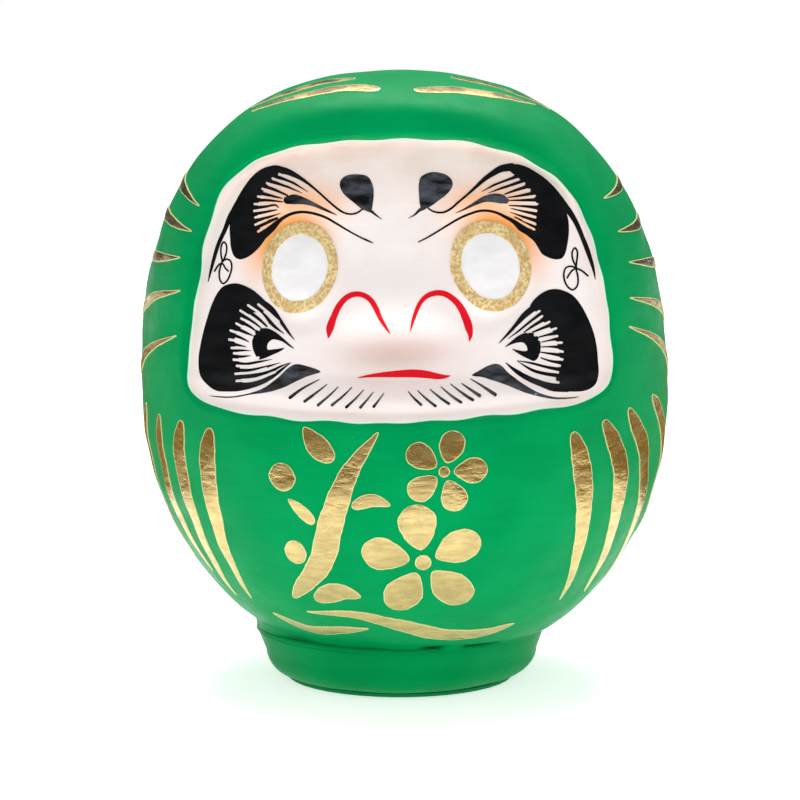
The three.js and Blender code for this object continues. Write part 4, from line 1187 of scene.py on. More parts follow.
def grey_film(name, material, strokes):
    film_piece(name, material, strokes=strokes, lift=sizes().paint_film / MM * UNDER_PAINT)


# ---- Gold foil -----------------------------------------------------------------------

FOIL_TIP = 0.15
FOIL_LANES = np.linspace(-1, 1, 9)
FOIL_STEP = 0.9
FOIL_LEAST_STEPS = 16
FOIL_SPANS = 24
FOIL_FLATTENING = 0.25  # share of its height that the foil loses at its sides

# Each kind of stroke: where along it the foil is widest, and how fast it narrows from there.
STRIPE_SHAPE = (0.36, 0.7)
TICK_SHAPE = (0.25, 0.8)
CROWN_SHAPE = (0.3, 0.7)
SWEEP_SHAPE = (0.55, 0.7)
BRANCH_SHAPE = (0.4, 0.7)
PETAL_SHAPE = (0.6, 0.5)
DOT_SHAPE = (0.5, 0.5)

# Strokes as points of azimuth in degrees and level; each of the belly's has its half width.
BELLY_STRIPES = {
    "left": (
        (((-132.3, -0.06), (-134.4, -0.22), (-136, -0.48), (-138.4, -0.81)), 2.8),
        (((-142, -0.05), (-145, -0.22), (-145, -0.5), (-147.5, -0.82)), 2.6),
        (((-153, -0.05), (-154.6, -0.25), (-154.2, -0.48), (-151, -0.72)), 2.3),
        (((-163, -0.03), (-167, -0.2), (-166, -0.45), (-162, -0.68)), 2.3),
    ),
    "right": (
        (((-50, -0.06), (-46.3, -0.24), (-43.2, -0.48), (-38.4, -0.81)), 2.8),
        (((-41, -0.03), (-34.2, -0.23), (-31, -0.48), (-26.6, -0.8)), 2.9),
        (((-32.4, 0), (-24.1, -0.2), (-18.4, -0.46), (-15.2, -0.76)), 2.7),
        (((-20.6, 0.02), (-11.4, -0.12), (-6, -0.32), (-4.4, -0.6)), 2.5),
    ),
}
HOOD_TICKS = {
    "left": (
        ((-172, 0.68), (-155, 0.655), (-140.5, 0.615)),
        ((-172, 0.575), (-154, 0.555), (-141.5, 0.538)),
        ((-174, 0.43), (-157, 0.442), (-144.5, 0.456)),
        ((-176, 0.24), (-159, 0.315), (-143, 0.357)),
        ((-178, 0.05), (-161, 0.145), (-144, 0.219)),
    ),
    "right": (
        ((2, 0.67), (-14, 0.652), (-31, 0.636)),
        ((1, 0.55), (-14.5, 0.535), (-29, 0.535)),
        ((3, 0.4), (-12.5, 0.42), (-27, 0.44)),
        ((4, 0.22), (-12, 0.29), (-29.5, 0.335)),
        ((5, 0.03), (-12, 0.165), (-31, 0.25)),
    ),
}
TICK_HALF_WIDTH = 1.4
CROWN_STROKES = {
    "left": (
        ((-94, 0.969), (-107, 0.971), (-122, 0.947), (-142, 0.892)),
        ((-112, 0.9925), (-122, 0.982), (-134, 0.952), (-149, 0.9)),
    ),
    "right": (
        ((-82, 0.969), (-69.4, 0.968), (-52.5, 0.949), (-30, 0.91)),
        ((-54, 0.992), (-42, 0.972), (-26, 0.937), (-6, 0.885)),
    ),
}
CROWN_HALF_WIDTH = 2.4

# Strokes on the belly's front as points of x and level, and half width.
FLOURISH = (
    (((-22, -0.83), (-9, -0.832), (1, -0.88), (11, -0.932), (20, -0.93), (27, -0.9)), 2.4),
    (((-7.4, -0.897), (-14, -0.915), (-22, -0.93), (-31, -0.87)), 1.8),
)
SPRIG_BRUSH = {
    "branch": (((-25, -0.77), (-18, -0.6), (-14.5, -0.4), (-10, -0.2), (-3, -0.03)), 3.1),
    "twig_left": (((-18.8, -0.42), (-21.5, -0.37), (-24.6, -0.32)), 1.7),
    "twig_right": (((-9.6, -0.34), (-5, -0.31), (-0.6, -0.33)), 1.7),
    "leaf_low": (((-19.6, -0.77), (-14, -0.72), (-8.6, -0.74)), 2.9),
    "leaf_high": (((-13.6, -0.15), (-17.5, -0.09), (-20.5, -0.02)), 2.8),
}
# Buds and flowers: x, level, radius, and for a flower its turn.
SPRIG_BUDS = ((-26, -0.23, 3.4), (-23.6, -0.55, 2.9))
SPRIG_FLOWERS = {"flower_large": (6.5, -0.575, 14.6, 0.1), "flower_small": (12, -0.19, 10, -0.3)}
PETALS = 5
PETAL_INNER = 0.22  # these three as shares of the flower's radius
PETAL_SPREAD = 0.31
FLOWER_CENTRE = 0.13


def on_skin(azimuth_degrees, level):
    """Azimuth and polar angle where level is 1 at the crown, 0 at the belly and -1 at the foot."""
    azimuth = math.radians(azimuth_degrees)
    if level < 0:
        drop = -level * BELLY_RUN / BELLY_DROP
        reach = (1 - drop**BELLY_FULLNESS) ** (1 / BELLY_FULLNESS)
        return azimuth, -math.atan2(drop, reach)
    exponent = float(hood_exponent(azimuth))
    return azimuth, math.atan2(level, (1 - level**exponent) ** (1 / exponent))


def on_belly(across, level):
    drop = max(0.0, -level) * BELLY_RUN / BELLY_DROP
    reach = HALF_WIDTH * (1 - drop**BELLY_FULLNESS) ** (1 / BELLY_FULLNESS)
    return on_skin(-math.degrees(math.acos(across / reach)), level)


def foil_width(t, widest, peak, fullness):
    """Half width along a stroke, t from 0 to 1."""
    shifted = t ** (math.log(0.5) / math.log(peak))
    return FOIL_TIP + (widest - FOIL_TIP) * np.abs(np.sin(math.pi * shifted)) ** fullness


def side_steps(azimuth, polar, heading):
    """Steps in azimuth and polar angle for a millimetre to the left of a line on the skin."""
    h = ANGLE_STEP
    across = (skin(azimuth + h, polar, False) - skin(azimuth - h, polar, False)) / (2 * h)
    up = (skin(azimuth, polar + h, False) - skin(azimuth, polar - h, False)) / (2 * h)
    forward = across * heading[:, :1] + up * heading[:, 1:]
    normal = np.cross(across, up)
    area = np.linalg.norm(normal, axis=1)
    normal /= area[:, None]
    left = np.cross(normal, forward)
    left /= np.linalg.norm(left, axis=1, keepdims=True)
    turn = np.einsum("ij,ij->i", np.cross(left, up), normal) / area
    rise = np.einsum("ij,ij->i", np.cross(across, left), normal) / area
    return np.stack([turn, rise], axis=1)


def along_stroke(line):
    """Places along a stroke, denser at its ends: angles, share of the curve, and millimetres run."""
    dense = spline(line, FOIL_SPANS, closed=False, centripetal=False)
    on_body = skin(dense[:, 0], dense[:, 1], False)
    run = np.concatenate([[0], np.cumsum(np.linalg.norm(np.diff(on_body, axis=0), axis=1))])
    steps = max(FOIL_LEAST_STEPS, round(run[-1] / FOIL_STEP))
    along = run[-1] * (1 - np.cos(np.linspace(0, math.pi, steps + 1))) / 2
    even = np.linspace(0, 1, len(dense))
    share = np.interp(along, run, even)
    place = np.stack([np.interp(share, even, angles) for angles in dense.T], axis=1)
    return place, share, along


def sheet_faces(rows, columns):
    """Faces of a closed sheet whose points are all of its top and then all of its back."""
    count = rows * columns
    last = columns - 1
    upper = grid_faces(rows, columns)
    faces = [tuple(reversed(f)) for f in upper] + [tuple(i + count for i in f) for f in upper]
    edge = [*range(columns), *(i * columns + last for i in range(1, rows))]
    edge += [(rows - 1) * columns + j for j in range(last - 1, -1, -1)]
    edge += [i * columns for i in range(rows - 2, 0, -1)]
    faces += [(a, b, b + count, a + count) for a, b in zip(edge, edge[1:] + edge[:1])]
    return faces


def foil_ribbon(line, widest, shape, seed=0.0):
    """One stroke of foil: points, faces and each point's distance from the foil's edge."""
    place, share, along = along_stroke(line)
    run = along[-1]
    uneven = 1 + ripple(run * share, ((0.03, 0.9, seed), (0.02, 2.3, 0)))
    half = foil_width(share, widest, *shape) * uneven
    aside = side_steps(place[:, 0], place[:, 1], np.gradient(place, axis=0))
    spots = place[:, None, :] + aside[:, None, :] * np.outer(half, FOIL_LANES)[:, :, None]
    azimuth, polar = spots.reshape(-1, 2).T
    dome = np.tile(1 - FOIL_FLATTENING * FOIL_LANES**4, len(place))
    top = lifted_skin(azimuth, polar, sizes().foil_film / MM * dome)
    base = lifted_skin(azimuth, polar, -FILM_ROOT)
    from_side = np.outer(half, 1 - np.abs(FOIL_LANES))
    from_end = np.minimum(along, run - along)[:, None]
    rim = np.concatenate([np.minimum(from_side, from_end).ravel(), np.zeros(len(base))])
    return np.vstack([top, base]), sheet_faces(len(place), len(FOIL_LANES)), rim


def foil_piece(name, ribbons, material, replaced):
    points, faces, rims = joined(ribbons)
    piece = new_piece(name, points, faces, material, replaced, crease=45)
    set_attribute(piece, "rim", rims)
    return piece


def placed(line):
    return [on_skin(azimuth, level) for azimuth, level in line]


def placed_on_belly(line):
    return [on_belly(across, level) for across, level in line]


def numbered_foil(name, node_stem, strokes, shape, material):
    """A piece of foil from (line, half width) strokes, for the nodes with their numbers."""
    ribbons = [foil_ribbon(placed(line), half, shape, i) for i, (line, half) in enumerate(strokes)]
    return foil_piece(name, ribbons, material, [f"{node_stem}_{i + 1}" for i in range(len(strokes))])


def belly_ribbons(strokes, shape):
    return [foil_ribbon(placed_on_belly(line), half, shape, half) for line, half in strokes]


def foil_dot(across, level, radius):
    rise = radius / BELLY_RUN
    line = placed_on_belly([(across, level + step) for step in (-rise, 0, rise)])
    return foil_ribbon(line, radius, DOT_SHAPE, across)


def flower(across, level, radius, turn):
    """Ribbons of five petals and a centre."""
    ribbons = []
    for i in range(PETALS):
        angle = turn + POLE + i * 2 * math.pi / PETALS
        spots = []
        for share in (PETAL_INNER, (PETAL_INNER + 1) / 2, 1):
            aside = radius * share * math.cos(angle)
            rise = radius * share * math.sin(angle) / BELLY_RUN
            spots.append((across + aside, level + rise))
        ribbons.append(foil_ribbon(placed_on_belly(spots), PETAL_SPREAD * radius, PETAL_SHAPE, i))
    ribbons.append(foil_dot(across, level, FLOWER_CENTRE * radius))
    return ribbons


# ---- Materials -----------------------------------------------------------------------


class Shader:
    """A new node material with a Principled shader, and short ways to add nodes to it."""

    def __init__(self, name, **fixed):
        self.material = bpy.data.materials.new(name)
        self.material.use_nodes = True
        self.nodes = self.material.node_tree.nodes
        self.links = self.material.node_tree.links
        self.principled = self.nodes["Principled BSDF"]
        self.position = self.add("ShaderNodeTexCoord").outputs["Object"]
        for socket, value in fixed.items():
            self.principled.inputs[socket.replace("_", " ")].default_value = value

    def add(self, kind, inputs=None, **settings):
        node = self.nodes.new(kind)
        for key, value in settings.items():
            setattr(node, key, value)
        for socket, value in (inputs or {}).items():
            if isinstance(value, bpy.types.NodeSocket):
                self.links.new(value, node.inputs[socket])
            else:
                node.inputs[socket].default_value = value
        return node

    def set(self, socket, output):
        self.links.new(output, self.principled.inputs[socket])

    def attribute(self, name):
        return self.add("ShaderNodeAttribute", attribute_name=name).outputs["Fac"]

    def noise(self, stretch, detail=3.0, roughness=0.55):
        """Noise whose features are 1 / stretch metres long on each axis."""
        mapped = self.add("ShaderNodeMapping", {"Vector": self.position, "Scale": stretch})
        inputs = {"Vector": mapped.outputs[0], "Scale": 1.0, "Detail": detail, "Roughness": roughness}
        return self.add("ShaderNodeTexNoise", inputs).outputs["Fac"]

    def ramp(self, value, low, high, to_low=0.0, to_high=1.0):
        inputs = {"Value": value, 1: low, 2: high, 3: to_low, 4: to_high}
        return self.add("ShaderNodeMapRange", inputs, interpolation_type="SMOOTHSTEP").outputs[0]

    def math(self, operation, a, b):
        return self.add("ShaderNodeMath", {0: a, 1: b}, operation=operation, use_clamp=True).outputs[0]

    def mix(self, share, a, b):
        """Colour a where share is 0, b where it is 1."""
        node = self.add("ShaderNodeMix", data_type="RGBA")
        for socket, value in ((node.inputs[0], share), (node.inputs[6], a), (node.inputs[7], b)):
            if isinstance(value, bpy.types.NodeSocket):
                self.links.new(value, socket)
            else:
                socket.default_value = value if isinstance(value, float) else (*value, 1)
        return node.outputs[2]

    def between(self, share, a, b):
        """Number a where share is 0, b where it is 1."""
        node = self.add("ShaderNodeMix", {0: share, 2: a, 3: b}, data_type="FLOAT")
        return node.outputs[0]

    def mottle(self, pattern, spread, tint, darker, lighter):
        """The tint, darker and lighter along a pattern whose change lies within the spread."""
        return self.mix(self.ramp(pattern, *spread), shaded(tint, darker), shaded(tint, lighter))

    def set_roughness(self, pattern, least, most):
        self.set("Roughness", self.ramp(pattern, 0.3, 0.7, least, most))

    def bump(self, heights):
        """Bumps stacked on each other: pairs of a height output and its depth in millimetres."""
        normal = None
        for height, depth in heights:
            inputs = {"Height": height, "Distance": depth * MM, "Strength": 1.0}
            if normal is not None:
                inputs["Normal"] = normal
            normal = self.add("ShaderNodeBump", inputs).outputs[0]
        self.set("Normal", normal)


def shaded(tint, factor):
    return tuple(min(1.0, value * factor) for value in tint)


BRUSHED = (70.0, 70.0, 620.0)  # brush marks run round the body
FIBRE = (900.0, 900.0, 900.0)
MOTTLE = (55.0, 55.0, 55.0)
PULP = (210.0, 210.0, 210.0)
FOREHEAD_PATCHES = (75.0, 75.0, 110.0)
GREEN_SHEEN = (0.05, 1.0, 0.62)  # the paint's varnish is tinted, so its highlights stay green
# Painted shade along the face's edge, by the recess wall: span in millimetres inside the edge, and
# share.
EDGE_SHADE_SPAN = (0.5, 7.0)  # millimetres inside the face's edge
EDGE_SHADE_SHARE = 0.26
BLUSH_AND_SHADOW_SHARE = 0.62
FACE_ROUGHNESS = 0.55
# Painted shade in the open joint between body and foot.
JOINT_PAINTED_SHADE = 0.06  # share of the foot's green that is left in the open joint
PAPER_LAP = (0.7, 0.4)  # millimetres from the base paper's edge where the paint starts and covers


def green_paint(name, tint):
    """Satin green paint over pulp, with brush marks and faint patches."""
    shader = Shader(name, Specular_IOR_Level=0.07, Specular_Tint=(*GREEN_SHEEN, 1.0))
    strokes = shader.ramp(shader.noise(BRUSHED, 5.0), 0.3, 0.7)
    base = shader.mottle(shader.noise(MOTTLE), (0.35, 0.65), tint, 0.93, 1.05)
    base = shader.mix(shader.math("MULTIPLY", strokes, 0.35), base, shaded(tint, 1.12))
    return shader, base, strokes


def face_tints(shader, edge):
    """The painted face: painted shade along its top and edge, faint flesh patches, blush over the mouth
    that is partly painted shadow under the nose, orange over the eyes, pale rim.
    """
    tints = colours()
    # Painted shade over the face's top, under the hood, in patches.
    patchy = shader.ramp(shader.noise(FOREHEAD_PATCHES, 4.0), 0.25, 0.75, 0.35, 0.95)
    painted_shade_at_top = shader.ramp(shader.attribute("face_level"), 0.7, 1.0)
    face = shader.mix(shader.math("MULTIPLY", painted_shade_at_top, patchy), tints.face, tints.face_patches_and_painted_shade)
    # Painted shade along the face's edge, by the recess wall.
    painted_shade_at_edge = shader.ramp(edge, *EDGE_SHADE_SPAN, EDGE_SHADE_SHARE, 0.0)
    face = shader.mix(painted_shade_at_edge, face, tints.face_patches_and_painted_shade)
    soft_patch = shader.math("MULTIPLY", shader.ramp(shader.noise(MOTTLE, 4.0), 0.45, 0.75), 0.3)
    face = shader.mix(soft_patch, face, tints.face_patches_and_painted_shade)
    # Blush above the mouth, partly painted shadow under the nose.
    blush_and_nose_shadow = shader.math("MULTIPLY", shader.attribute("blush_and_nose_shadow"), BLUSH_AND_SHADOW_SHARE)
    face = shader.mix(blush_and_nose_shadow, face, tints.blush_and_nose_shadow)
    grain = shader.ramp(shader.noise(PULP, 5.0), 0.2, 0.8, 0.9, 1.0)
    glow = shader.math("MULTIPLY", shader.attribute("glow"), grain)
    face = shader.mix(glow, face, tints.orange)
    rim = sizes().face_rim / MM
    wavering = {0: edge, 1: shader.noise(PULP)}
    distance = shader.add("ShaderNodeMath", wavering, operation="SUBTRACT").outputs[0]
    line = shader.ramp(distance, rim - 0.6, rim - 0.4, 1.0, 0.0)
    return shader.mix(line, face, tints.face_rim)


def body_paint():
    """The shell's paint: green outside the face's edge, flesh tints and painted shade inside it."""
    shader, green, strokes = green_paint("body_and_face", colours().green)
    edge = shader.attribute("face_edge")
    on_face = shader.ramp(edge, -0.05, 0.05)
    shader.set("Base Color", shader.mix(on_face, green, face_tints(shader, edge)))
    satin = shader.ramp(shader.noise(PULP), 0.3, 0.7, 0.34, 0.46)
    shader.set("Roughness", shader.between(on_face, satin, FACE_ROUGHNESS))
    shader.bump([(strokes, 0.03), (shader.noise(FIBRE, 4.0), 0.035), (shader.noise(PULP), 0.16)])
    return shader.material


def foot_paint():
    """The body's green a little darker as painted shade on the foot, and painted shade almost black
    where the joint above it is open.
    """
    # The foot's darker green is painted shade.
    tint = colours().foot_shaded_green
    shader, green, strokes = green_paint("foot_shaded_green", tint)
    # Painted shade, near black, where the joint is open.
    gap = shader.ramp(shader.attribute("gap"), 0.1, 0.62)
    shader.set("Base Color", shader.mix(gap, green, shaded(tint, JOINT_PAINTED_SHADE)))
    shader.set_roughness(shader.noise(PULP), 0.4, 0.52)
    shader.bump([(strokes, 0.04), (shader.noise(FIBRE, 4.0), 0.05), (shader.noise(PULP), 0.2)])
    return shader.material


def brush_paint(name, tint, streak_tint, rough, streaking=0.5):
    """Ink-like brush paint: uneven in depth and gloss, with streaks of a second tint; in the black and
    grey inks these grey streaks are partly painted sheen.
    """
    shader = Shader(name, Specular_IOR_Level=0.12)
    streaks = shader.ramp(shader.noise((150.0, 150.0, 420.0), 5.0, 0.6), 0.32, 0.68)
    shader.set("Base Color", shader.mix(shader.math("MULTIPLY", streaks, streaking), tint, streak_tint))
    shader.set_roughness(shader.noise(PULP), rough - 0.06, rough + 0.1)
    shader.bump([(shader.noise(FIBRE, 4.0), 0.03), (shader.noise(PULP), 0.1)])
    return shader.material


def eye_paint():
    """Thick white paint with fine creases."""
    shader = Shader("eye_white", Specular_IOR_Level=0.3)
    creases = shader.noise((120.0, 120.0, 240.0), 6.0, 0.62)
    shader.set("Base Color", shader.mottle(creases, (0.3, 0.7), colours().eye, 0.94, 1.04))
    shader.set_roughness(creases, 0.5, 0.66)
    shader.bump([(creases, 0.2), (shader.noise(FIBRE, 4.0), 0.04)])
    return shader.material


def ring_glitter():
    """Coarse gold paint, pale and dark grains side by side."""
    tints = colours()
    shader = Shader("ring_glitter", Metallic=0.3, Specular_IOR_Level=0.5)
    grains = shader.noise((1300.0, 1300.0, 1300.0), 2.0, 0.7)
    patches = shader.noise((330.0, 330.0, 330.0), 4.0)
    fine = shader.ramp(grains, 0.36, 0.6)
    mottled = shader.math("MULTIPLY", fine, shader.ramp(patches, 0.3, 0.62, 0.35, 1.0))
    shader.set("Base Color", shader.mix(mottled, tints.ring_dark, tints.ring_pale))
    shader.set_roughness(grains, 0.3, 0.6)
    shader.bump([(grains, 0.16), (patches, 0.12)])
    return shader.material


def foil_metal():
    """Gold leaf pressed on by hand: mirror patches, fine creases and a pale rim."""
    tints = colours()
    shader = Shader("gold_leaf", Metallic=1.0)
    creases = shader.noise((190.0, 190.0, 620.0), 6.0, 0.65)
    patches = shader.noise((160.0, 160.0, 420.0), 4.0, 0.6)
    base = shader.mottle(creases, (0.34, 0.66), tints.foil, 0.8, 1.06)
    width = sizes().foil_rim / MM
    in_rim = shader.ramp(shader.attribute("rim"), width * 0.7, width, 1.0, 0.0)
    shader.set("Base Color", shader.mix(in_rim, base, tints.foil_rim))
    shader.set("Metallic", shader.between(in_rim, 1.0, 0.25))
    leaf_rough = shader.ramp(patches, 0.35, 0.65, 0.16, 0.36)
    shader.set("Roughness", shader.between(in_rim, leaf_rough, 0.5))
    shader.bump([(creases, 0.12), (patches, 0.25), (shader.noise(FIBRE, 3.0), 0.012)])
    return shader.material


def washi_sheet(name):
    """Plain fibrous paper: its shader without a colour yet, and the colour."""
    shader = Shader(name, Specular_IOR_Level=0.2)
    fibres = shader.noise((260.0, 700.0, 260.0), 6.0, 0.7)
    base = shader.mottle(fibres, (0.35, 0.7), colours().paper, 0.86, 1.05)
    shader.set_roughness(fibres, 0.75, 0.92)
    shader.bump([(fibres, 0.12), (shader.noise(FIBRE, 4.0), 0.05)])
    return shader, base


def washi_paper():
    shader, base = washi_sheet("washi_sheet")
    shader.set("Base Color", base)
    return shader.material


def base_sheet():
    """Paper under the foot, with the foot's paint lapping over its edge."""
    shader, base = washi_sheet("base_sheet")
    flattened = {0: shader.position, 1: (1, 1, 0)}
    flat = shader.add("ShaderNodeVectorMath", flattened, operation="MULTIPLY").outputs[0]
    distance = shader.add("ShaderNodeVectorMath", {0: flat}, operation="LENGTH").outputs["Value"]
    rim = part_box("base_paper")[1].x
    lapped = shader.ramp(distance, *(rim - lap * MM for lap in PAPER_LAP))
    shader.set("Base Color", shader.mix(lapped, base, colours().foot_shaded_green))
    return shader.material


def dried_clay():
    """Lumpy clay, dried and matt."""
    shader = Shader("dried_clay", Specular_IOR_Level=0.2)
    lumps = shader.noise((90.0, 90.0, 90.0), 6.0, 0.65)
    shader.set("Base Color", shader.mottle(lumps, (0.35, 0.7), colours().clay, 0.8, 1.1))
    shader.set_roughness(lumps, 0.82, 0.97)
    shader.bump([(lumps, 0.5), (shader.noise(FIBRE, 4.0), 0.08)])
    return shader.material


def shared(name, make):
    """The material of that name, made when it is first needed."""
    return bpy.data.materials.get(name) or make()


def refinish(node_name, material):
    """Gives a CAD node that stays a better material."""
    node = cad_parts[node_name]
    node.data.materials.clear()
    node.data.materials.append(material)


def black_paint():
    # Faint grey streaks in the black, partly painted sheen.
    return brush_paint("black_paint", colours().black, shaded(colours().grey_ink_and_sheen, 0.12), 0.4)


def grey_ink_and_sheen():
    # Grey streaks over black: partly greyer ink, partly painted sheen.
    return brush_paint("grey_ink_and_sheen", colours().black, colours().grey_ink_and_sheen, 0.5, 1.0)


def red_paint():
    return brush_paint("red_paint", colours().red, shaded(colours().red, 0.82), 0.42)


# ---- Stage ---------------------------------------------------------------------------


# Brightness that mirrors see, from straight down (0) to straight up (1).
MIRROR_STOPS = ((0.0, 0.95), (0.22, 0.9), (0.36, 0.1), (0.62, 0.08), (0.78, 0.75), (1.0, 1.0))
LIGHT_AIM = (0, 0, 0.08)
TOP_LIGHT_PLACE = (0, 0.35, 1.15)
TOP_LIGHT_SIZE = 0.9
FRONT_LIGHT_PLACE = (0.1, -1.1, 0.35)
FRONT_LIGHT_SIZE = 0.8
FLOOR_STEPS = 96
FLOOR_GREYS = ((0.9, 0.9, 0.9), (0.93, 0.93, 0.93))
FLOOR_GLOW = 0.6
RING_RADII = (0.16, 0.9)
RING_LIFT = 0.0005
RING_BROWNS = ((0.17, 0.13, 0.05), (0.33, 0.22, 0.075))


def height_ramp(tree):
    """Brightness of the surroundings by the height of a direction."""
    direction = tree.nodes.new("ShaderNodeTexCoord").outputs["Generated"]
    split = tree.nodes.new("ShaderNodeSeparateXYZ")
    tree.links.new(direction, split.inputs[0])
    height = tree.nodes.new("ShaderNodeMapRange")
    height.inputs["From Min"].default_value = -1
    tree.links.new(split.outputs["Z"], height.inputs["Value"])
    ramp = tree.nodes.new("ShaderNodeValToRGB")
    tree.links.new(height.outputs[0], ramp.inputs[0])
    elements = ramp.color_ramp.elements
    while len(elements) < len(MIRROR_STOPS):
        elements.new(0.5)
    for element, (place, value) in zip(elements, MIRROR_STOPS):
        element.position = place
        element.color = (value, value, value, 1)
    return ramp.outputs[0]


def studio_world():
    """Pale behind the doll; in its mirrors bright above and below, and dim at the horizon."""
    world = bpy.data.worlds.new("studio")
    bpy.context.scene.world = world
    world.use_nodes = True
    tree = world.node_tree
    rays = tree.nodes.new("ShaderNodeLightPath")
    background = tree.nodes["Background"]
    background.inputs["Color"].default_value = (1, 1, 1, 1)
    strength = tree.nodes.new("ShaderNodeMapRange")
    strength.inputs["To Min"].default_value = bpy.context.scene.daruma_stage.surround
    tree.links.new(rays.outputs["Is Camera Ray"], strength.inputs["Value"])
    tree.links.new(strength.outputs[0], background.inputs["Strength"])
    mirror = tree.nodes.new("ShaderNodeBackground")
    tree.links.new(height_ramp(tree), mirror.inputs["Color"])
    mixed = tree.nodes.new("ShaderNodeMixShader")
    tree.links.new(rays.outputs["Is Glossy Ray"], mixed.inputs[0])
    tree.links.new(background.outputs[0], mixed.inputs[1])
    tree.links.new(mirror.outputs[0], mixed.inputs[2])
    tree.links.new(mixed.outputs[0], tree.nodes["World Output"].inputs[0])


def area_light(name, place, size, power, in_mirrors=True):
    data = bpy.data.lights.new(name, "AREA")
    data.size = size
    data.energy = power
    light = bpy.data.objects.new(name, data)
    light.location = place
    light.rotation_euler = (Vector(LIGHT_AIM) - Vector(place)).to_track_quat("-Z", "Y").to_euler()
    light.visible_glossy = in_mirrors
    bpy.context.scene.collection.objects.link(light)


def stage_sheet(name, points, faces, material):
    mesh = bpy.data.meshes.new(name)
    mesh.from_pydata(points.tolist(), [], faces)
    mesh.materials.append(material)
    sheet = bpy.data.objects.new(name, mesh)
    bpy.context.scene.collection.objects.link(sheet)
    return sheet


def floor_disc(radius):
    turn = np.linspace(0, 2 * math.pi, FLOOR_STEPS, endpoint=False)
    shader = Shader("floor", Specular_IOR_Level=0.1, Roughness=0.9)
    shader.set("Base Color", shader.mix(shader.noise((3.0, 3.0, 3.0)), *FLOOR_GREYS))
    shader.principled.inputs["Emission Color"].default_value = (1, 1, 1, 1)
    shader.principled.inputs["Emission Strength"].default_value = FLOOR_GLOW
    stage_sheet("floor", around_axis(turn, radius, 0), [tuple(range(FLOOR_STEPS))], shader.material)


def dark_ring():
    """A matt ring on the floor round the doll that only its mirrors see."""
    turn = np.linspace(0, 2 * math.pi, FLOOR_STEPS, endpoint=False)
    points = np.vstack([around_axis(turn, radius, RING_LIFT) for radius in RING_RADII])
    faces = []
    for i in range(FLOOR_STEPS):
        following = (i + 1) % FLOOR_STEPS
        faces.append((i, FLOOR_STEPS + i, FLOOR_STEPS + following, following))
    shader = Shader("dark_ring", Roughness=1.0, Specular_IOR_Level=0.0)
    patches = shader.ramp(shader.noise((9.0, 9.0, 9.0)), 0.4, 0.6)
    shader.set("Base Color", shader.mix(patches, *RING_BROWNS))
    ring = stage_sheet("dark_ring", points, faces, shader.material)
    ring.visible_camera = False
    ring.visible_diffuse = False
    ring.visible_shadow = False
    ring.visible_transmission = False


def set_camera(stage):
    camera = bpy.data.objects.new("camera", bpy.data.cameras.new("camera"))
    camera.data.lens = stage.lens
    camera.data.clip_start = 0.01
    camera.location = (
        stage.camera_distance * math.sin(stage.camera_azimuth),
        -stage.camera_distance * math.cos(stage.camera_azimuth),
        stage.camera_height,
    )
    aim = Vector((0, 0, stage.aim_height)) - camera.location
    camera.rotation_euler = aim.to_track_quat("-Z", "Y").to_euler()
    bpy.context.scene.collection.objects.link(camera)
    bpy.context.scene.camera = camera


# ---- Operators -----------------------------------------------------------------------


class BuildShell(bpy.types.Operator):
    """Pressed paper shell in two halves, with its paint"""

    bl_idname = "daruma.shell"
    bl_label = "Shell"

    def execute(self, context):
        paint = shared("body_and_face", body_paint)
        front, azimuth, polar = shell_half("front_shell", FRONT_COLUMNS, paint)
        paint_guides(front, azimuth, polar)
        back, *_ = shell_half("back_shell", BACK_COLUMNS, paint)
        set_attribute(back, "face_edge", np.full(len(back.data.vertices), FAR_OUTSIDE))
        return {"FINISHED"}


class BuildFoot(bpy.types.Operator):
    """Moulded foot cup and the painted joint between foot and body"""

    bl_idname = "daruma.foot"
    bl_label = "Foot"

    def execute(self, context):
        paint = shared("foot_shaded_green", foot_paint)
        points, faces = lathe(foot_section(), FOOT_COLUMNS)
        points = foot_wave(points)
        new_piece("foot_cup_skin", points, faces, paint, ["foot_cup"], crease=50)
        points, faces, gap = joint_fillet()
        fillet = new_piece("joint_fillet", points, faces, paint, crease=60)
        set_attribute(fillet, "gap", gap)
        return {"FINISHED"}


class FinishInside(bpy.types.Operator):
    """Paper strip, clay weight and base paper, which keep their CAD shapes"""

    bl_idname = "daruma.inside"
    bl_label = "Inside"

    def execute(self, context):
        refinish("seam_strip", shared("washi_sheet", washi_paper))
        refinish("base_paper", shared("base_sheet", base_sheet))
        refinish("clay_weight", shared("dried_clay", dried_clay))
        return {"FINISHED"}


class PaintBrows(bpy.types.Operator):
    """Crane brows, forehead drops and temple curls in ink"""

    bl_idname = "daruma.brows"
    bl_label = "Brows"

    def execute(self, context):
        black = shared("black_paint", black_paint)
        grey = shared("grey_ink_and_sheen", grey_ink_and_sheen)
        brow("left", BROW_LEFT, black, grey)
        brow("right", BROW_RIGHT, black, grey)
        for side, (drop, tail) in DROPS.items():
            film_piece(f"forehead_drop_{side}", grey, [closed_shape(drop)], (), [brush(tail)])
        for side, lines in CURLS.items():
            strokes = [even_brush(line, CURL_HALF_WIDTH) for line in lines]
            film_piece(f"temple_curl_{side}", black, strokes=strokes)
        return {"FINISHED"}


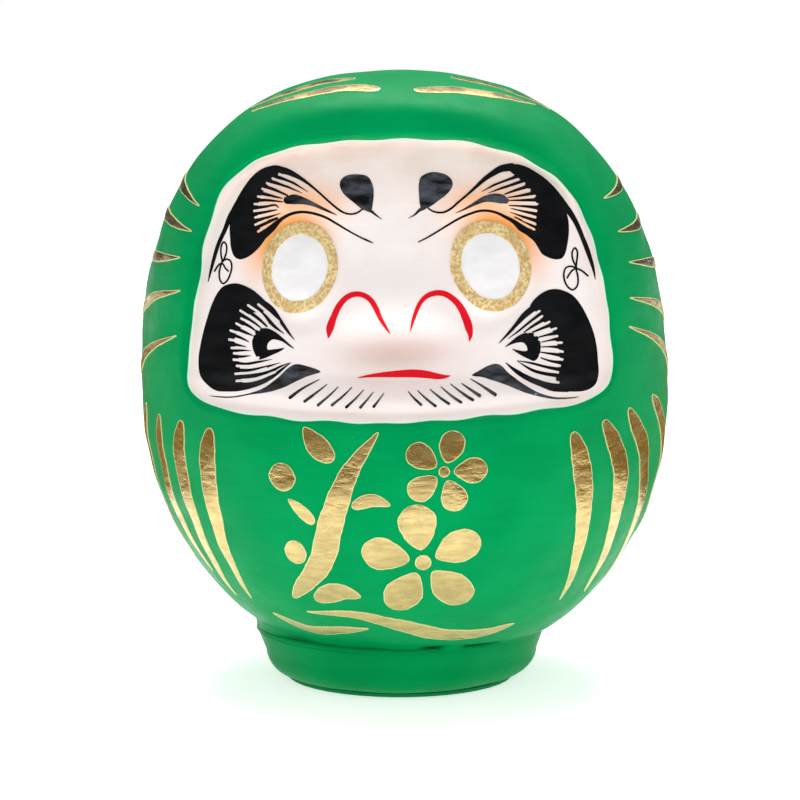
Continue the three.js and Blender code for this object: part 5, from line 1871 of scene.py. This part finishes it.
class PaintCheeks(bpy.types.Operator):
    """Tortoise cheeks and whiskers in ink"""

    bl_idname = "daruma.cheeks"
    bl_label = "Cheeks"

    def execute(self, context):
        black = shared("black_paint", black_paint)
        grey = shared("grey_ink_and_sheen", grey_ink_and_sheen)
        cheek("left", CHEEK_LEFT, black, grey)
        cheek("right", CHEEK_RIGHT, black, grey)
        for side, lines in WHISKERS.items():
            strokes = []
            for line in lines:
                halves = np.linspace(WHISKER_ROOT, WHISKER_TIP, len(line))
                strokes.append(brush([(x, z, half) for (x, z), half in zip(line, halves)]))
            film_piece(f"whiskers_{side}", grey, strokes=strokes)
        return {"FINISHED"}


class PaintNoseAndMouth(bpy.types.Operator):
    """Nose lines and mouth in red"""

    bl_idname = "daruma.nose_and_mouth"
    bl_label = "Nose and mouth"

    def execute(self, context):
        red = shared("red_paint", red_paint)
        for side, line in NOSE_LINES.items():
            film_piece(f"nose_line_{side}", red, strokes=[brush(line)])
        film_piece("mouth", red, [closed_shape(MOUTH)])
        return {"FINISHED"}


class PaintEyes(bpy.types.Operator):
    """Blank white eyes in rings of gold glitter"""

    bl_idname = "daruma.eyes"
    bl_label = "Eyes"

    def execute(self, context):
        white = shared("eye_white", eye_paint)
        glitter = shared("ring_glitter", ring_glitter)
        for side, (middle, outside, inside, lean) in EYES.items():
            lapped = [half + EYE_LAP for half in inside]
            film_piece(f"eye_white_{side}", white, [ellipse(middle, lapped, lean)])
            rim = ellipse(middle, outside, lean, RING_WAVER_OUTSIDE)
            hole = ellipse(middle, inside, lean, RING_WAVER_INSIDE)
            height = sizes().ring_film / MM
            film_piece(f"eye_ring_{side}", glitter, [rim], [hole], lift=height)
        return {"FINISHED"}


class LayBodyFoil(bpy.types.Operator):
    """Gold foil strokes on the belly's sides, the hood and the crown"""

    bl_idname = "daruma.body_foil"
    bl_label = "Body foil"

    def execute(self, context):
        foil = shared("gold_leaf", foil_metal)
        for side in ("left", "right"):
            stripes = BELLY_STRIPES[side]
            ticks = [(line, TICK_HALF_WIDTH) for line in HOOD_TICKS[side]]
            sweeps = [(line, CROWN_HALF_WIDTH) for line in CROWN_STROKES[side]]
            numbered_foil(f"belly_foil_{side}", f"belly_stripe_{side}", stripes, STRIPE_SHAPE, foil)
            numbered_foil(f"hood_foil_{side}", f"hood_tick_{side}", ticks, TICK_SHAPE, foil)
            numbered_foil(f"crown_foil_{side}", f"crown_stroke_{side}", sweeps, CROWN_SHAPE, foil)
        return {"FINISHED"}


class LaySprigFoil(bpy.types.Operator):
    """Gold foil blossom sprig and crossing sweeps on the belly"""

    bl_idname = "daruma.sprig_foil"
    bl_label = "Sprig foil"

    def execute(self, context):
        foil = shared("gold_leaf", foil_metal)
        sweeps = belly_ribbons(FLOURISH, SWEEP_SHAPE)
        foil_piece("flourish_foil", sweeps, foil, ["flourish_1", "flourish_2"])
        strokes = belly_ribbons(SPRIG_BRUSH.values(), BRANCH_SHAPE)
        foil_piece("sprig_foil", strokes, foil, [f"sprig_{part}" for part in SPRIG_BRUSH])
        buds = [foil_dot(across, level, radius) for across, level, radius in SPRIG_BUDS]
        foil_piece("bud_foil", buds, foil, ["sprig_bud_1", "sprig_bud_2"])
        for name, (across, level, radius, turn) in SPRIG_FLOWERS.items():
            names = [f"{name}_petal_{i + 1}" for i in range(PETALS)] + [f"{name}_centre"]
            foil_piece(f"{name}_foil", flower(across, level, radius, turn), foil, names)
        return {"FINISHED"}


class SetStage(bpy.types.Operator):
    """Pale floor, soft light and the camera"""

    bl_idname = "daruma.stage"
    bl_label = "Stage"

    def execute(self, context):
        stage = context.scene.daruma_stage
        context.scene.view_settings.view_transform = "Standard"
        studio_world()
        floor_disc(stage.floor_radius)
        dark_ring()
        area_light("top_light", TOP_LIGHT_PLACE, TOP_LIGHT_SIZE, stage.top_light)
        front = stage.front_light
        area_light("front_light", FRONT_LIGHT_PLACE, FRONT_LIGHT_SIZE, front, in_mirrors=False)
        set_camera(stage)
        return {"FINISHED"}


BUILD_ORDER = (
    BuildShell, BuildFoot, FinishInside, PaintBrows, PaintCheeks, PaintNoseAndMouth, PaintEyes,
    LayBodyFoil, LaySprigFoil, SetStage,
)  # fmt: skip


class DarumaPanel(bpy.types.Panel):
    """Lists the doll's pieces, sizes and colours"""

    bl_idname = "VIEW3D_PT_daruma"
    bl_label = "Daruma"
    bl_space_type = "VIEW_3D"
    bl_region_type = "UI"
    bl_category = "Daruma"

    def draw(self, context):
        scene = context.scene
        for operator in BUILD_ORDER:
            self.layout.operator(operator.bl_idname)
        for group in (scene.daruma_sizes, scene.daruma_colours, scene.daruma_stage):
            box = self.layout.box()
            for name in group.bl_rna.properties.keys():
                if name not in ("rna_type", "name"):
                    box.prop(group, name)


GROUPS = {"daruma_sizes": DarumaSizes, "daruma_colours": DarumaColours, "daruma_stage": DarumaStage}
CLASSES = (*GROUPS.values(), *BUILD_ORDER, DarumaPanel)


def register():
    for cls in CLASSES:
        bpy.utils.register_class(cls)
    for name, group in GROUPS.items():
        setattr(bpy.types.Scene, name, PointerProperty(type=group))


def unregister():
    for name in GROUPS:
        delattr(bpy.types.Scene, name)
    for cls in reversed(CLASSES):
        bpy.utils.unregister_class(cls)


def main():
    register()
    for operator in BUILD_ORDER:
        group, name = operator.bl_idname.split(".")
        getattr(getattr(bpy.ops, group), name)()


if __name__ == "__main__":
    main()
